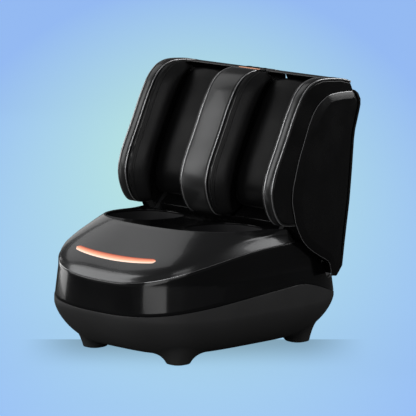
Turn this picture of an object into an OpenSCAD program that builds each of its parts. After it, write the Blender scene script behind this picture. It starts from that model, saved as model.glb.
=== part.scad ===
// Foot and calf massager.
// A free-standing base holds two foot wells with kneading rollers under the soles.
// A padded calf unit leans back on the base and tilts forward about two hinges.
// +X is the user's left-hand side of the machine seen from the front, the front is -Y, +Z is up.
// The origin is on the floor under the middle of the base.

/* [Base] */
// Width of the base at the seam
base_w = 410; // [396:2:416]
// Depth of the base at the seam
base_d = 494; // [480:2:520]
// Squareness of the front half of the base seen from above
plan_n = 3.5; // [3.1:0.1:4]
// Squareness of the rear half of the base seen from above
plan_rear_n = 3.8; // [3.4:0.1:4.2]
// Wall of the moulded shells
shell_t = 3; // [2.4:0.2:3.4]
// Height of the seam at the front and rear
seam_low_z = 95; // [94:1:100]
// Height of the seam at its crest
seam_high_z = 132; // [126:1:136]
// Height of the gloss band's top edge at the front
band_low_z = 155; // [150:1:160]
// Height of the gloss band's top edge at its crest
band_high_z = 212; // [208:1:214]
// How far the gloss band leans in at its top
band_lean = 7; // [4:0.5:9]
// Shadow gap between the shells
shell_gap = 0.6; // [0.4:0.1:0.8]
// Height of the hull's flat underside above the floor
floor_z = 20; // [18:0.5:22]
// Inset of the hull's flat underside from the seam
hull_inset = 60; // [54:1:64]

/* [Feet] */
// Distance of the feet from the middle, sideways
foot_x = 115; // [100:1:120]
// Distance of the front feet from the middle
front_foot_y = 149; // [140:1:156]
// Distance of the rear feet from the middle
rear_foot_y = 165; // [150:1:170]
// Radius of a foot where it meets the floor
foot_r = 20; // [19:0.5:24]
// Radius of the rubber pad in a foot
pad_r = 15; // [12:0.5:17]
// Thickness of the rubber pad
pad_t = 4; // [3:0.5:5]

/* [Top] */
// Height of the rim at its front
rim_front_z = 248; // [246:0.5:250]
// Height of the rim beside the calf unit
rim_rear_z = 240; // [238:0.5:241]
// Distance of the rim from the base's side, at its middle
rim_side = 28; // [26:1:31]
// Distance of the rim's rear end from the base's side
rim_end_side = 11; // [9:0.5:13]
// Distance of the rim's front from the middle
rim_y = 141; // [132:1:146]
// Squareness of the rim seen from above
rim_n = 2.53; // [2.3:0.05:2.8]
// How far the top plate lies under the rim
plate_drop = 3; // [2:0.5:4]
// Thickness of the top plate
plate_t = 3; // [2.5:0.25:3.5]
// Width of a foot opening
opening_w = 124; // [112:1:124]
// Land between a foot opening and the side of the rim
opening_side = 8; // [7:0.5:11]
// Distance of the foot openings' front ends from the rim's front
opening_front = 44; // [43:1:58]
// Rear end of the foot openings
opening_rear_y = 48; // [44:1:49]

/* [Rear deck] */
// Start of the notch behind the top plate
notch_y = 56; // [54:0.5:58]
// Depth of the notch from front to rear
notch_run = 21; // [18:1:24]
// Rear edge of the level shelf behind the notch
shelf_y = 93; // [88:1:98]
// Foot of the long slope under the calf unit
slope_y = 163; // [156:1:166]
// Height of the foot of the long slope
slope_z = 158; // [154:1:162]
// Start of the rear ledge
ledge_y = 172; // [168:1:176]
// Height of the rear ledge
ledge_z = 134; // [130:1:136]

/* [Light] */
// Width of the lit strip on the front slope
light_w = 222; // [180:2:230]
// Height of the lit strip at its middle, measured upright
light_h = 8.5; // [6:0.5:10]
// Height of the lit strip at its ends, measured upright
light_end_h = 6; // [4:0.5:8]
// Height of the strip's lower edge above the floor, at its middle
light_z = 188.5; // [184:0.5:194]
// Rise of the strip's ends above its middle
light_rise = 6.5; // [0:0.5:8]

/* [Calf unit] */
// How far the side walls stand out past the base
wall_out = 6; // [4:0.5:8]
// Thickness of a side wall
side_wall_t = 30; // [27:0.5:32]
// Width of the centre wall
centre_wall_w = 84; // [76:1:90]
// Thickness of the trim strip round each wall
strip_t = 4; // [3:0.5:5]
// Width of the cushion cover that shows on the front of a wall, beside the trim strip
welt_w = 7; // [5:0.5:9]
// Depth of a side cover
side_cover_t = 5; // [4:0.5:7]
// Width of the bevel round a side cover
side_bevel = 16; // [10:1:18]
// Distance of the rear cover behind the side covers
rear_bulge = 17; // [14:1:19]
// Radius of the rear corners seen from above
rear_corner = 24; // [18:1:30]
// Thickness of a side cushion
side_pad_t = 18; // [14:0.5:20]
// Thickness of an air bag in a side wall
side_bag_t = 4.7; // [3:0.1:5]
// Thickness of a rear cushion
rear_pad_t = 36; // [30:1:38]
// Thickness of an air bag behind a rear cushion
rear_bag_t = 8; // [6:0.5:9]
// Setback of the rear cushions behind the wall fronts
rear_pad_back = 47; // [42:1:50]

/* [Calf hinge] */
// Hinge axis, distance behind the middle
hinge_y = 53; // [52:0.5:54]
// Hinge axis, height above the floor
hinge_z = 214; // [213:0.5:215]
// Distance of each hinge's middle from the base's side
hinge_side = 35; // [34:0.5:37]
// Radius of a hinge barrel
barrel_r = 11; // [9:0.5:12]
// Width of a hinge arm
arm_w = 10; // [8:0.5:11]
// Radius of a hinge pin
hinge_pin_r = 5; // [4:0.25:6]
// Running clearance on a pin or shaft
run_gap = 0.06; // [0.03:0.01:0.1]

/* [Foot wells] */
// Thickness of a foot well's liner
liner_t = 4; // [3:0.5:4.5]
// Inner width of the foot space
toe_w = 104; // [98:1:106]
// Distance of the foot space's front end from the base's front
toe_front = 43; // [41:1:51]
// Height of the sole above the floor
sole_z = 96; // [95:0.5:98]
// Inner height of the foot space
toe_h = 74; // [66:1:76]
// Thickness of a sole tray
tray_t = 6; // [4:0.5:7]

/* [Kneading drive] */
// Height of the roller shafts above the floor
shaft_z = 62; // [60:0.5:63]
// Distance of the front roller shaft behind the foot space's front end
front_shaft_back = 89; // [86:1:96]
// Rear roller shaft, distance behind the middle
rear_shaft_y = 5; // [2:1:8]
// Radius of a roller shaft
shaft_r = 5; // [4:0.25:6]
// Length of a roller shaft
shaft_l = 290; // [286:1:296]
// Outer radius of a kneading roller over its knobs
roller_r = 25; // [22:0.5:25.5]
// Width of a kneading roller
roller_w = 22; // [18:0.5:24]
// Knobs round each kneading roller
roller_knobs = 6; // [5:1:7]
// Radius of a knob's end
knob_r = 7; // [6:0.25:7.5]
// Tooth module of the drive gears
gear_module = 1; // [1:0.05:1.05]
// Teeth on the drive gear
gear_teeth = 60; // [54:1:60]
// Teeth on the motor pinion
pinion_teeth = 12; // [11:1:14]
// Width of the drive gear
gear_w = 8; // [6:0.5:9]
// Radius of a belt pulley over the belt seat
pulley_r = 15; // [12:0.5:17]
// Width of the belt
belt_w = 8; // [6:0.5:9]
// Thickness of the belt
belt_t = 1.6; // [1.2:0.1:2]
// Radius of the drive motor
motor_r = 17; // [15:0.5:18]
// Gap between the drive motor and the roller beside it
motor_gap = 4; // [3:0.5:10]

/* [Frame inside] */
// Distance of the chassis plate from the base's side
chassis_side = 85; // [83:1:89]
// Distance of the chassis plate from the base's front and rear
chassis_end = 87; // [84:1:91]
// Thickness of the chassis plate
chassis_t = 3; // [2.5:0.25:3.5]
// Side of the square frame tubes
tube_s = 16; // [14:0.5:18]

/* [Controls] */
// Width of the control panel on the centre wall
panel_w = 70; // [64:1:76]
// Depth of the control panel
panel_d = 50; // [46:1:54]
// Thickness of the control panel
panel_t = 4.4; // [4.2:0.1:5]
// Length of the lit accent bar
accent_w = 52; // [44:1:58]
// Width of the lit accent bar
accent_d = 6; // [4:0.5:8]
// Radius of a control button
button_r = 6; // [5:0.25:7]
// Distance between control buttons
button_gap = 20; // [18:0.5:22]
// Travel of a control button
button_travel = 0.9; // [0.6:0.1:1.2]
// Width of the power rocker
rocker_w = 11; // [9:0.5:13]

/* [Hidden] */

half_w = base_w / 2;
half_d = base_d / 2;
seg = 72;                       // samples round the base
fit_gap = 0.3;                  // gap between pieces that sit against each other
rim_x = half_w - rim_side;      // half the width of the rim at its middle and at its rear end
rim_end_x = half_w - rim_end_side;
opening_x = rim_x - opening_side - opening_w / 2;
opening_l = opening_rear_y + rim_y - opening_front;
opening_y = opening_rear_y - opening_l / 2;
wall_x = half_w + wall_out;
hinge_x = half_w - hinge_side;
toe_y = half_d - toe_front;
front_shaft_y = toe_y - front_shaft_back;
chassis_x = half_w - chassis_side;
chassis_y = half_d - chassis_end;
far = 400;                      // long enough to cut right through the part

// ---------- shared functions ----------

function mix(a, b, t) = a + (b - a) * t;
function clamp01(t) = min(1, max(0, t));
function ease(a, b, t) = mix(a, b, (1 - cos(180 * clamp01(t))) / 2);
function unit(v) = v / norm(v);

// Radius of a superellipse with half-axes a and b in the direction phi
function super_r(a, b, n, phi) =
    1 / pow(pow(abs(cos(phi)) / a, n) + pow(abs(sin(phi)) / b, n), 1 / n);
function super_pt(a, b, n, phi) = super_r(a, b, n, phi) * [cos(phi), sin(phi)];
// Half-width of a superellipse at the height y
function super_x(a, b, n, y) = a * pow(max(0, 1 - pow(abs(y) / b, n)), 1 / n);

// The base seen from above, drawn in by an inset
function plan_pt(inset, phi) =
    super_pt(half_w - inset, half_d - inset, sin(phi) > 0 ? plan_rear_n : plan_n, phi);
function plan_ring(inset) = [for (i = [0:seg - 1]) plan_pt(inset, 360 * i / seg)];

// Height of the seam and of the gloss band's top edge along the base
seam_crest_y = 75;
function seam_z(y) = y < seam_crest_y
    ? mix(seam_low_z, seam_high_z, pow(clamp01((y + half_d) / (seam_crest_y + half_d)), 0.6))
    : ease(seam_high_z, seam_low_z, (y - seam_crest_y) / (half_d - seam_crest_y));
band_crest_y = 83;
function band_z(y) = mix(band_low_z, band_high_z,
    sin(90 * pow(clamp01((y + half_d) / (band_crest_y + half_d)), 0.7)));
band_lean_z = 65;               // height over which the band leans in
function band_inset(z) = band_lean * clamp01((z - seam_low_z - 2) / band_lean_z);

// Height of the rim, and of the top plate under it: one plane that falls to the rear
rim_slope = (rim_front_z - rim_rear_z) / (rim_y + notch_y);
function rim_z(y) = rim_front_z - rim_slope * (y + rim_y);
function plate_z(y) = rim_z(y) - plate_drop;
notch_top_z = plate_z(notch_y);
notch_end_y = notch_y + notch_run;

// Rear deck, seen from the side
deck_line = [[notch_end_y, band_high_z], [shelf_y, band_high_z - 1], [slope_y, slope_z],
             [ledge_y, ledge_z], [half_d - band_lean, ledge_z - 2]];

// Moves each point of a closed outline inwards; the outline runs anticlockwise
function inset_path(p, d) = [for (i = [0:len(p) - 1])
    let (a = p[(i + len(p) - 1) % len(p)], b = p[i], c = p[(i + 1) % len(p)],
         u = unit(b - a), v = unit(c - b),
         m = unit([-u[1] - v[1], u[0] + v[0]]),
         k = max(0.5, m * [-u[1], u[0]]))
    b + m * d / k];

// Moves each point of an open line sideways, to the left of its direction
function offset_line(p, d) = [for (i = [0:len(p) - 1])
    let (u = unit(p[min(i + 1, len(p) - 1)] - p[max(i - 1, 0)])) p[i] + d * [-u[1], u[0]]];

function reverse(p) = [for (i = [len(p) - 1:-1:0]) p[i]];

// Point of a line at the fraction t of its number of steps, on a smooth curve through its points
function on_line(p, t) = let (n = len(p) - 1, s = clamp01(t) * n, i = min(n - 1, floor(s)), f = s - i,
        a = p[max(0, i - 1)], b = p[i], c = p[i + 1], d = p[min(n, i + 2)])
    0.5 * ((2 * b) + (c - a) * f + (2 * a - 5 * b + 4 * c - d) * f * f
        + (3 * b - a - 3 * c + d) * f * f * f);

// A skin over rings of points; the ends are capped, or the last ring meets the first.
// The rings of a thin wall hold its outer face and then its inner face, back again.
module skin(rings, closed = false, thin = false) {
    n = len(rings[0]);
    m = len(rings);
    faces = [for (i = [0:m - (closed ? 1 : 2)], j = [0:n - 1])
        let (a = i * n + j, b = i * n + (j + 1) % n,
             c = ((i + 1) % m) * n + (j + 1) % n, d = ((i + 1) % m) * n + j)
        each [[a, b, c], [a, c, d]]];
    last = (m - 1) * n;
    caps = closed ? []
        : thin ? [for (j = [0:n / 2 - 2]) each [[n - 1 - j, n - 2 - j, j + 1, j],
              [last + j, last + j + 1, last + n - 2 - j, last + n - 1 - j]]]
        : [[for (j = [n - 1:-1:0]) j], [for (j = [0:n - 1]) last + j]];
    polyhedron(points = [for (r = rings) each r], faces = concat(faces, caps), convexity = 8);
}

// Extrudes an outline drawn in the side view (y, z) from x0 to x1
module slab(outline, x0, x1) {
    translate([x0, 0, 0]) rotate([90, 0, 90]) linear_extrude(x1 - x0) polygon(outline);
}

// A straight bar with its middle line along X
module x_rod(r, x0, x1, sides = 48) {
    translate([x0, 0, 0]) rotate([0, 90, 0]) cylinder(r = r, h = x1 - x0, $fn = sides);
}

module both_sides() {
    children();
    mirror([1, 0, 0]) children();
}

// ---------- base shells ----------

// The hull curves in from the seam to its flat underside
hull_top_z = 92;
hull_n = 1.5;
hull_steps = 8;
function hull_ring(step, wall) =
    let (a = 90 * step / hull_steps, r = 2 / hull_n,
         in = hull_inset * (1 - pow(cos(a), r)) + wall,
         z = hull_top_z - (hull_top_z - floor_z - wall) * pow(sin(a), r))
    [for (q = plan_ring(in)) [q[0], q[1], z]];
function seam_ring(inset) = [for (i = [0:seg - 1])
    let (phi = 360 * i / seg, q = plan_pt(inset, phi)) [q[0], q[1], seam_z(plan_pt(0, phi)[1])]];

foot_flare = [[0, 1], [2, 3], [5, 9], [8, 15], [13, 20], [17, 22.6]];  // added radius, height
flare_in = 0.6;                // share of the flare that lies towards the middle
foot_n = 2.6;
foot_sides = 28;

module foot(x, y) {
    skin([for (q = reverse(foot_flare))
        [for (i = [0:foot_sides - 1])
            let (p = super_pt(foot_r + q[0], foot_r + q[0], foot_n, 360 * i / foot_sides), d = flare_in * q[0])
            [x - sign(x) * d + p[0], y - sign(y) * d + p[1], q[1]]]]);
}

module at_feet() {
    for (sx = [-1, 1], y = [-front_foot_y, rear_foot_y]) translate([sx * foot_x, y, 0]) children();
}

// Recess for a pad, and the screw hole that holds a foot on the shell
module foot_holes() {
    at_feet() translate([0, 0, -1]) {
        cylinder(r = pad_r + fit_gap, h = pad_t + 1, $fn = 48);
        cylinder(r = 2 * screw_r + fit_gap, h = screw_z + screw_head_h + 1.05, $fn = 32);
        cylinder(r = screw_r + 0.05, h = screw_z + screw_l + 1.3, $fn = 32);
    }
}

module bottom_shell() {
    color("#101112") difference() {
        skin(concat(
            [for (k = [hull_steps:-1:0]) hull_ring(k, shell_t)],
            [seam_ring(shell_t), seam_ring(0)],
            [for (k = [0:hull_steps]) hull_ring(k, 0)]));
        foot_holes();
        translate([inlet_x - inlet_w / 2 - fit_gap, inlet_y - 30, inlet_z - inlet_h / 2 - fit_gap])
            cube([inlet_w + 2 * fit_gap, 60, inlet_h + 2 * fit_gap]);
    }
}

foot_seat = 0.1;                // gap between a foot and the shell that it is screwed to
module feet() {
    color("#101112") difference() {
        for (sx = [-1, 1], y = [-front_foot_y, rear_foot_y]) foot(sx * foot_x, y);
        skin([for (k = [0:hull_steps]) hull_ring(k, -foot_seat)]);
        foot_holes();
    }
}

module rubber_feet() {
    color("#050505") at_feet() cylinder(r = pad_r, h = pad_t, $fn = 48);
}

// Cutter for everything above the rear deck, lowered by d
module above_deck(d) {
    slab(concat([for (q = deck_line) [q[0], q[1] - d]],
                [[far, ledge_z - 2 - d], [far, far], [notch_end_y, far]]), -far, far);
}

module side_band() {
    levels = 4;
    color("#0b0c0d") difference() {
        skin([for (i = [0:seg - 1])
            let (phi = 360 * i / seg, y = plan_pt(0, phi)[1],
                 z0 = seam_z(y) + shell_gap, z1 = band_z(y))
            concat(
                [for (k = [0:levels]) let (z = mix(z0, z1, k / levels), q = plan_pt(band_inset(z), phi))
                    [q[0], q[1], z]],
                [for (k = [levels:-1:0])
                    let (z = mix(z0, z1, k / levels), q = plan_pt(band_inset(z) + shell_t, phi))
                    [q[0], q[1], z]])], closed = true);
        above_deck(plate_t + fit_gap);
    }
}

// Half-width of the rim at y: a superellipse in front, flaring out towards the notch
rim_flare_n = 1.3;
function rim_half(y) = y < 0 ? super_x(rim_x, rim_y, rim_n, y)
    : mix(rim_x, rim_end_x, pow(y / notch_y, rim_flare_n));
// The rim falls with the notch behind the top plate
cover_end_y = notch_end_y - 3;
function cover_rim_z(y) = y < notch_y ? rim_z(y)
    : mix(rim_z(notch_y), band_high_z + 3, (y - notch_y) / (cover_end_y - notch_y));

// Edge point and rim point of one section of the top cover, and where the band is read
function cover_pair_front(phi) =
    [plan_pt(band_lean, phi), super_pt(rim_x, rim_y, rim_n, phi), plan_pt(0, phi)[1]];
function cover_pair_rear(side, y) =
    [[side * super_x(half_w - band_lean, half_d - band_lean, plan_rear_n, y), y],
     [side * min(rim_half(min(y, notch_y)), super_x(half_w - band_lean - 3, half_d, plan_rear_n, y)), y],
     min(y, band_crest_y)];

cover_roll = [[0, 0], [1.2, 5], [3, 11], [6.5, 16]];   // inset and height of the rolled skirt
cover_crown = 1.5;                                     // bulge of the slope
lip_w = 4.5;                                           // width of the lip inside the rim

function cover_section(pair) =
    let (e = pair[0], r = pair[1], l = norm(r - e), d = unit(r - e), y = e[1],
         ez = band_z(pair[2]) + shell_gap, rz = cover_rim_z(r[1]),
         s = min(1, (l - 1) / 12), h = min(1, (rz - ez) / 30),
         skirt = [for (q = cover_roll) [q[0] * s, ez + q[1] * h]],
         top = [l - 1, rz - 0.8],
         slope = [for (t = [1 / 3, 2 / 3])
             [mix(skirt[3][0], top[0], t), mix(skirt[3][1], top[1], t) + cover_crown * s]],
         lip_z = min(rz - 1, y < notch_y + 1 ? plate_z(r[1]) + fit_gap : rz - 2),
         outer = concat(skirt, slope, [top, [l + 1.2, rz], [l + lip_w, rz - 0.7]]),
         inner = [[l + lip_w, lip_z], [l + 1.6, lip_z],
             [slope[1][0] + shell_t * 0.8, slope[1][1] - shell_t * 0.7 * h],
             [slope[0][0] + shell_t * 0.8, slope[0][1] - shell_t * 0.7 * h],
             [skirt[3][0] + shell_t, skirt[3][1] - 2 * h], [skirt[2][0] + shell_t, skirt[2][1] - 1 * h],
             [shell_t, ez]])
    [for (q = concat(outer, inner)) let (p = e + q[0] * d) [p[0], p[1], q[1]]];

cover_rear_ys = [14, 28, 42, notch_y + fit_gap, notch_y + 9, cover_end_y];
function cover_path() = concat(
    [for (y = reverse(cover_rear_ys)) cover_pair_rear(-1, y)],
    [for (i = [0:seg / 2]) cover_pair_front(180 + 360 * i / seg)],
    [for (y = cover_rear_ys) cover_pair_rear(1, y)]);

// The outer face of the cover between its skirt and its rim, in the direction phi:
// a point on the slope at the height z, moved h out of the face
function slope_pt(phi, z, h) =
    let (pair = cover_pair_front(phi), e = pair[0], l = norm(pair[1] - e), d = unit(pair[1] - e),
         low = [cover_roll[3][0], band_z(pair[2]) + shell_gap + cover_roll[3][1]],
         top = [l - 1, rim_z(pair[1][1]) - 0.8], run = top - low, t = clamp01((z - low[1]) / run[1]),
         n = [-run[1], run[0]] / norm(run),
         q = low + run * t + [0, cover_crown * min(1, 3 * min(t, 1 - t))] + n * h, p = e + q[0] * d)
    [p[0], p[1], q[1]];

// The lit strip: a thin block that follows the slope, from one end to the other
light_steps = 16;
light_face_r = half_d - 42;     // distance of the strip from the middle of the base
module light_block(h0, h1, grow) {
    turn = atan((light_w / 2 + grow) / light_face_r);
    skin([for (i = [0:light_steps])
        let (u = 2 * i / light_steps - 1, phi = 270 + turn * u, rise = light_rise * u * u,
             low = light_z + rise - grow, high = light_z + rise + mix(light_h, light_end_h, u * u) + grow)
        [slope_pt(phi, low, h0), slope_pt(phi, low, h1), slope_pt(phi, high, h1), slope_pt(phi, high, h0)]]);
}

module top_cover() {
    color("#3a3d40") difference() {
        skin([for (p = cover_path()) cover_section(p)]);
        light_block(-12, 8, fit_gap);
    }
}

light_proud = 0.6;
lens_t = 3.4;
module light_lens() {
    color("#ff7a45") light_block(light_proud - lens_t, light_proud, 0);
}

module light_board() {
    top = light_proud - lens_t - fit_gap;
    color("#1d5a36") light_block(top - 1.6, top, -1);
}

// Outline of the top plate: the rim drawn in so that it lies under the lip
plate_inset = 1.6 + fit_gap;
function plate_outline() = concat(
    [for (i = [0:seg / 2]) super_pt(rim_x - plate_inset, rim_y - plate_inset, rim_n, 180 + 360 * i / seg)],
    [for (i = [1:4]) [rim_half(notch_y * i / 4) - plate_inset, notch_y * i / 4]],
    [for (i = [4:-1:1]) [plate_inset - rim_half(notch_y * i / 4), notch_y * i / 4]]);

opening_n = 2.6;
opening_sides = 48;
module opening_shape(grow) {
    polygon([for (i = [0:opening_sides - 1])
        super_pt(opening_w / 2 + grow, opening_l / 2 + grow, opening_n, 360 * i / opening_sides)]);
}

// Places children on the sloping plane of the top plate, with the plane's z as zero
module on_plate() {
    translate([0, 0, plate_z(0)]) rotate([-atan(rim_slope), 0, 0]) children();
}

module top_plate() {
    color("#060607") difference() {
        on_plate() translate([0, 0, -plate_t]) linear_extrude(plate_t) polygon(plate_outline());
        both_sides() translate([opening_x, opening_y, hinge_z]) linear_extrude(100) opening_shape(0);
    }
}

// Slots that let the hinge arms through
slot_w = arm_w + 3;
module arm_slots() {
    both_sides() translate([hinge_x - slot_w / 2, notch_y - 1, hinge_z - 3]) cube([slot_w, notch_run + 4.2, 25]);
}

notch_x = rim_x + 9;
module rear_deck() {
    t = plate_t;
    color("#0a0a0b") difference() {
        union() {
            slab([[notch_y + fit_gap, notch_top_z], [notch_y + fit_gap, notch_top_z - 1.4 * t],
                  [notch_end_y - t, band_high_z - t], [notch_end_y + t, band_high_z - t],
                  [notch_end_y + t, band_high_z], [notch_end_y, band_high_z]], -notch_x, notch_x);
            intersection() {
                slab(concat(deck_line, reverse([for (q = deck_line) [q[0], q[1] - t]])), -far, far);
                linear_extrude(far) polygon(plan_ring(band_lean));
            }
        }
        arm_slots();
    }
}

// ---------- foot wells ----------

well_top_z = plate_z(0);
toe_rear_y = opening_rear_y - liner_t;
toe_n = 4;
module toe_box(grow, z0, z1) {
    w = toe_w / 2 + grow;
    translate([0, 0, z0]) linear_extrude(z1 - z0) polygon([for (i = [0:opening_sides - 1])
        let (l = (toe_y + toe_rear_y) / 2 + grow, p = super_pt(w, l, toe_n, 360 * i / opening_sides))
        [p[0], p[1] + (toe_rear_y - toe_y) / 2]]);
}

tube_z = sole_z + toe_h - 20;   // lower end of the tube that rises from the foot space to the plate
module foot_liner(side) {
    mirror([side < 0 ? 1 : 0, 0, 0]) color("#1b1b1d") difference() {
        translate([opening_x, 0, 0]) difference() {
            union() {
                toe_box(liner_t, sole_z - liner_t, sole_z + toe_h + liner_t);
                translate([0, opening_y, tube_z]) linear_extrude(100) opening_shape(liner_t);
            }
            toe_box(0, sole_z, sole_z + toe_h);
            translate([0, opening_y, tube_z + liner_t]) linear_extrude(100) opening_shape(0);
        }
        on_plate() translate([-far, -far, -plate_t]) cube([2 * far, 2 * far, far]);
    }
}

roller_xs = [opening_x - 22, opening_x + 22];
tray_z = sole_z - liner_t - fit_gap;
tray_w = toe_w - 10;
post_r = 4;
post_gap = 6;                   // gap between the motor and the post beside it
tray_front = 40;                // reach of the trays past the front and rear shafts
tray_rear = 38;
module sole_trays() {
    front = front_shaft_y + tray_front;
    rear = rear_shaft_y + tray_rear;
    post_z = deck_z + 0.1;
    color("#2a2b2d") both_sides() {
        difference() {
            translate([opening_x - tray_w / 2, -front, tray_z - tray_t]) cube([tray_w, front + rear, tray_t]);
            for (x = roller_xs, y = [-front_shaft_y, rear_shaft_y])
                translate([x - roller_w / 2 - 3, y - roller_r, tray_z - tray_t - 1])
                    cube([roller_w + 6, 2 * roller_r, tray_t + 2]);
        }
        for (x = [motor_x + motor_l + post_gap + post_r, opening_x], y = [post_r - front, rear - post_r])
            translate([x, y, post_z]) cylinder(r = post_r, h = tray_z - tray_t - post_z, $fn = 32);
    }
}

bag_size = [5, 130, 38];
bag_y = -90;
bag_z = sole_z + 32;
function bag_x(side) = opening_x + side * (toe_w / 2 + liner_t + bag_size[0] / 2 + fit_gap);
module foot_airbags() {
    color("#5b6066") both_sides() {
        for (side = [-1, 1]) translate([bag_x(side), bag_y, bag_z]) cube(bag_size, center = true);
    }
}

// ---------- frame and drive ----------

chassis_z = floor_z + shell_t;
deck_z = chassis_z + chassis_t;
upright_x = chassis_x - tube_s / 2 - 4;
beam_y = hinge_y + 12;
beam_z = hinge_z - barrel_r - 16;
beam_l = 2 * (hinge_x + arm_w / 2 + 8);

module chassis() {
    color("#8d9196") {
        translate([0, 0, chassis_z + 0.1]) linear_extrude(chassis_t - 0.1) polygon([for (i = [0:47])
            super_pt(chassis_x, chassis_y, 5, 360 * i / 48)]);
        both_sides() translate([upright_x - tube_s / 2, beam_y - tube_s / 2, deck_z - 0.1])
            cube([tube_s, tube_s, beam_z - tube_s / 2 - deck_z + 0.1]);
        translate([-beam_l / 2, beam_y - tube_s / 2, beam_z - tube_s / 2]) cube([beam_l, tube_s, tube_s]);
        difference() {
            translate([motor_x - 3, motor_y - motor_r - 2, deck_z - 0.1])
                cube([3, 2 * motor_r + 4, shaft_z + motor_r - deck_z]);
            translate([0, motor_y, shaft_z]) x_rod(8.3, motor_x - 5, motor_x + 5);
        }
    }
}

block_xs = [46, opening_x];
block_w = 11;
module at_blocks() {
    for (x = block_xs, y = [-front_shaft_y, rear_shaft_y]) translate([x, y, 0]) children();
}

module bearing_blocks() {
    color("#c9ccd0") both_sides() at_blocks() difference() {
        union() {
            translate([-block_w / 2, -12, deck_z + 0.05]) cube([block_w, 24, shaft_z - deck_z]);
            translate([0, 0, shaft_z]) x_rod(12, -block_w / 2, block_w / 2);
        }
        translate([0, 0, shaft_z]) x_rod(shaft_r + run_gap, -block_w, block_w);
    }
}

module roller_shaft(y) {
    color("#b9bcc0") translate([0, y, shaft_z]) x_rod(shaft_r, -shaft_l / 2, shaft_l / 2);
}

knob_depth = 5;
module roller(x, y) {
    hub = roller_r - knob_depth;
    translate([x, y, shaft_z]) difference() {
        union() {
            x_rod(hub, -roller_w / 2, roller_w / 2);
            for (i = [0:roller_knobs - 1]) rotate([360 * i / roller_knobs, 0, 0])
                translate([0, 0, roller_r - knob_r]) sphere(r = knob_r, $fn = 32);
        }
        x_rod(shaft_r, -roller_w, roller_w);
    }
}

module rollers(y) {
    color("#d07a3a") for (x = roller_xs) {
        roller(x, y);
        roller(-x, y);
    }
}

gear_x = 6;
pinion_gap = 0.15;              // extra centre distance, for backlash
motor_y = rear_shaft_y + gear_module * (gear_teeth + pinion_teeth) / 2 + pinion_gap;
motor_x = gear_x + gear_w / 2 + 6;
motor_l = roller_xs[0] - roller_w / 2 - motor_gap - motor_x;
motor_shaft_r = 2;

// A spur gear with straight-sided teeth, its axis along X
module spur_gear(teeth, bore, turn) {
    m = gear_module;
    rp = m * teeth / 2;
    tip = 0.42 * m;
    foot_half = 0.98 * m;
    rotate([0, 90, 0]) difference() {
        linear_extrude(gear_w, center = true) rotate(turn) polygon([for (i = [0:teeth - 1], k = [0:3])
            let (c = 360 * i / teeth, half = k == 0 || k == 3 ? foot_half : tip,
                 r = k == 0 || k == 3 ? rp - 1.2 * m : rp + 0.92 * m,
                 a = (k < 2 ? -1 : 1) * half / r * 180 / PI)
            r * [cos(c + a), sin(c + a)]]);
        cylinder(r = bore, h = 3 * gear_w, center = true, $fn = 48);
    }
}

module drive_gear() {
    color("#e8e6df") translate([gear_x, rear_shaft_y, shaft_z]) spur_gear(gear_teeth, shaft_r, 90);
}

module motor_pinion() {
    color("#caa84a") translate([gear_x, motor_y, shaft_z]) {
        spur_gear(pinion_teeth, motor_shaft_r / 2, -90 + 180 / pinion_teeth);
        x_rod(motor_shaft_r, -gear_w / 2, motor_x - gear_x + 4);
    }
}

module drive_motor() {
    color("#9aa0a6") translate([0, motor_y, shaft_z]) difference() {
        union() {
            x_rod(motor_r, motor_x + 0.05, motor_x + motor_l);
            x_rod(8, motor_x - 3, motor_x + 1);
        }
        x_rod(motor_shaft_r + run_gap, motor_x - 6, motor_x + 8);
    }
}

pulley_x = -14;
module pulley(y) {
    color("#d8d8d2") translate([0, y, shaft_z]) difference() {
        union() {
            x_rod(pulley_r, pulley_x - belt_w / 2 - 1, pulley_x + belt_w / 2 + 1);
            for (s = [-1, 1]) translate([pulley_x + s * (belt_w / 2 + 1.5), 0, 0])
                x_rod(pulley_r + 3, -1, 1);
        }
        x_rod(shaft_r, pulley_x - 20, pulley_x + 20);
    }
}

belt_gap = 0.05;
module belt_loop(r, w) {
    for (y = [-front_shaft_y, rear_shaft_y]) translate([0, y, shaft_z]) x_rod(r, -w / 2, w / 2, 64);
    translate([-w / 2, -front_shaft_y, shaft_z - r]) cube([w, front_shaft_y + rear_shaft_y, 2 * r]);
}

module drive_belt() {
    r = pulley_r + belt_gap;
    color("#151515") translate([pulley_x, 0, 0]) difference() {
        belt_loop(r + belt_t, belt_w);
        belt_loop(r, belt_w + 2);
    }
}

// ---------- air and electrics ----------

rear_bay_y = 100;               // middle of the bay behind the foot wells
pump_x = -60;
pump_size = [84, 50, 46];
pump_foot_h = 10;
port_h = 24;
module air_pump() {
    color("#3f4347") translate([pump_x, rear_bay_y, deck_z]) {
        for (sx = [-1, 1], sy = [-1, 1]) translate([sx * 32, sy * 17, 0.05])
            cylinder(r = 5, h = pump_foot_h + 0.1, $fn = 32);
        translate([-pump_size[0] / 2, -pump_size[1] / 2, pump_foot_h]) cube(pump_size);
        translate([0, pump_size[1] / 2 - 0.1, port_h]) rotate([-90, 0, 0]) cylinder(r = 3, h = 2.1, $fn = 32);
    }
}

valve_y = 141;
valve_size = [64, 14, 28];
module valve_block() {
    color("#d9d4c4") translate([pump_x, valve_y, deck_z]) {
        translate([-valve_size[0] / 2, -valve_size[1] / 2, 0.05]) cube(valve_size);
        for (i = [0:3]) translate([(i - 1.5) * 15, 0, valve_size[2]]) cylinder(r = 5.5, h = 14, $fn = 32);
    }
}

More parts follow.
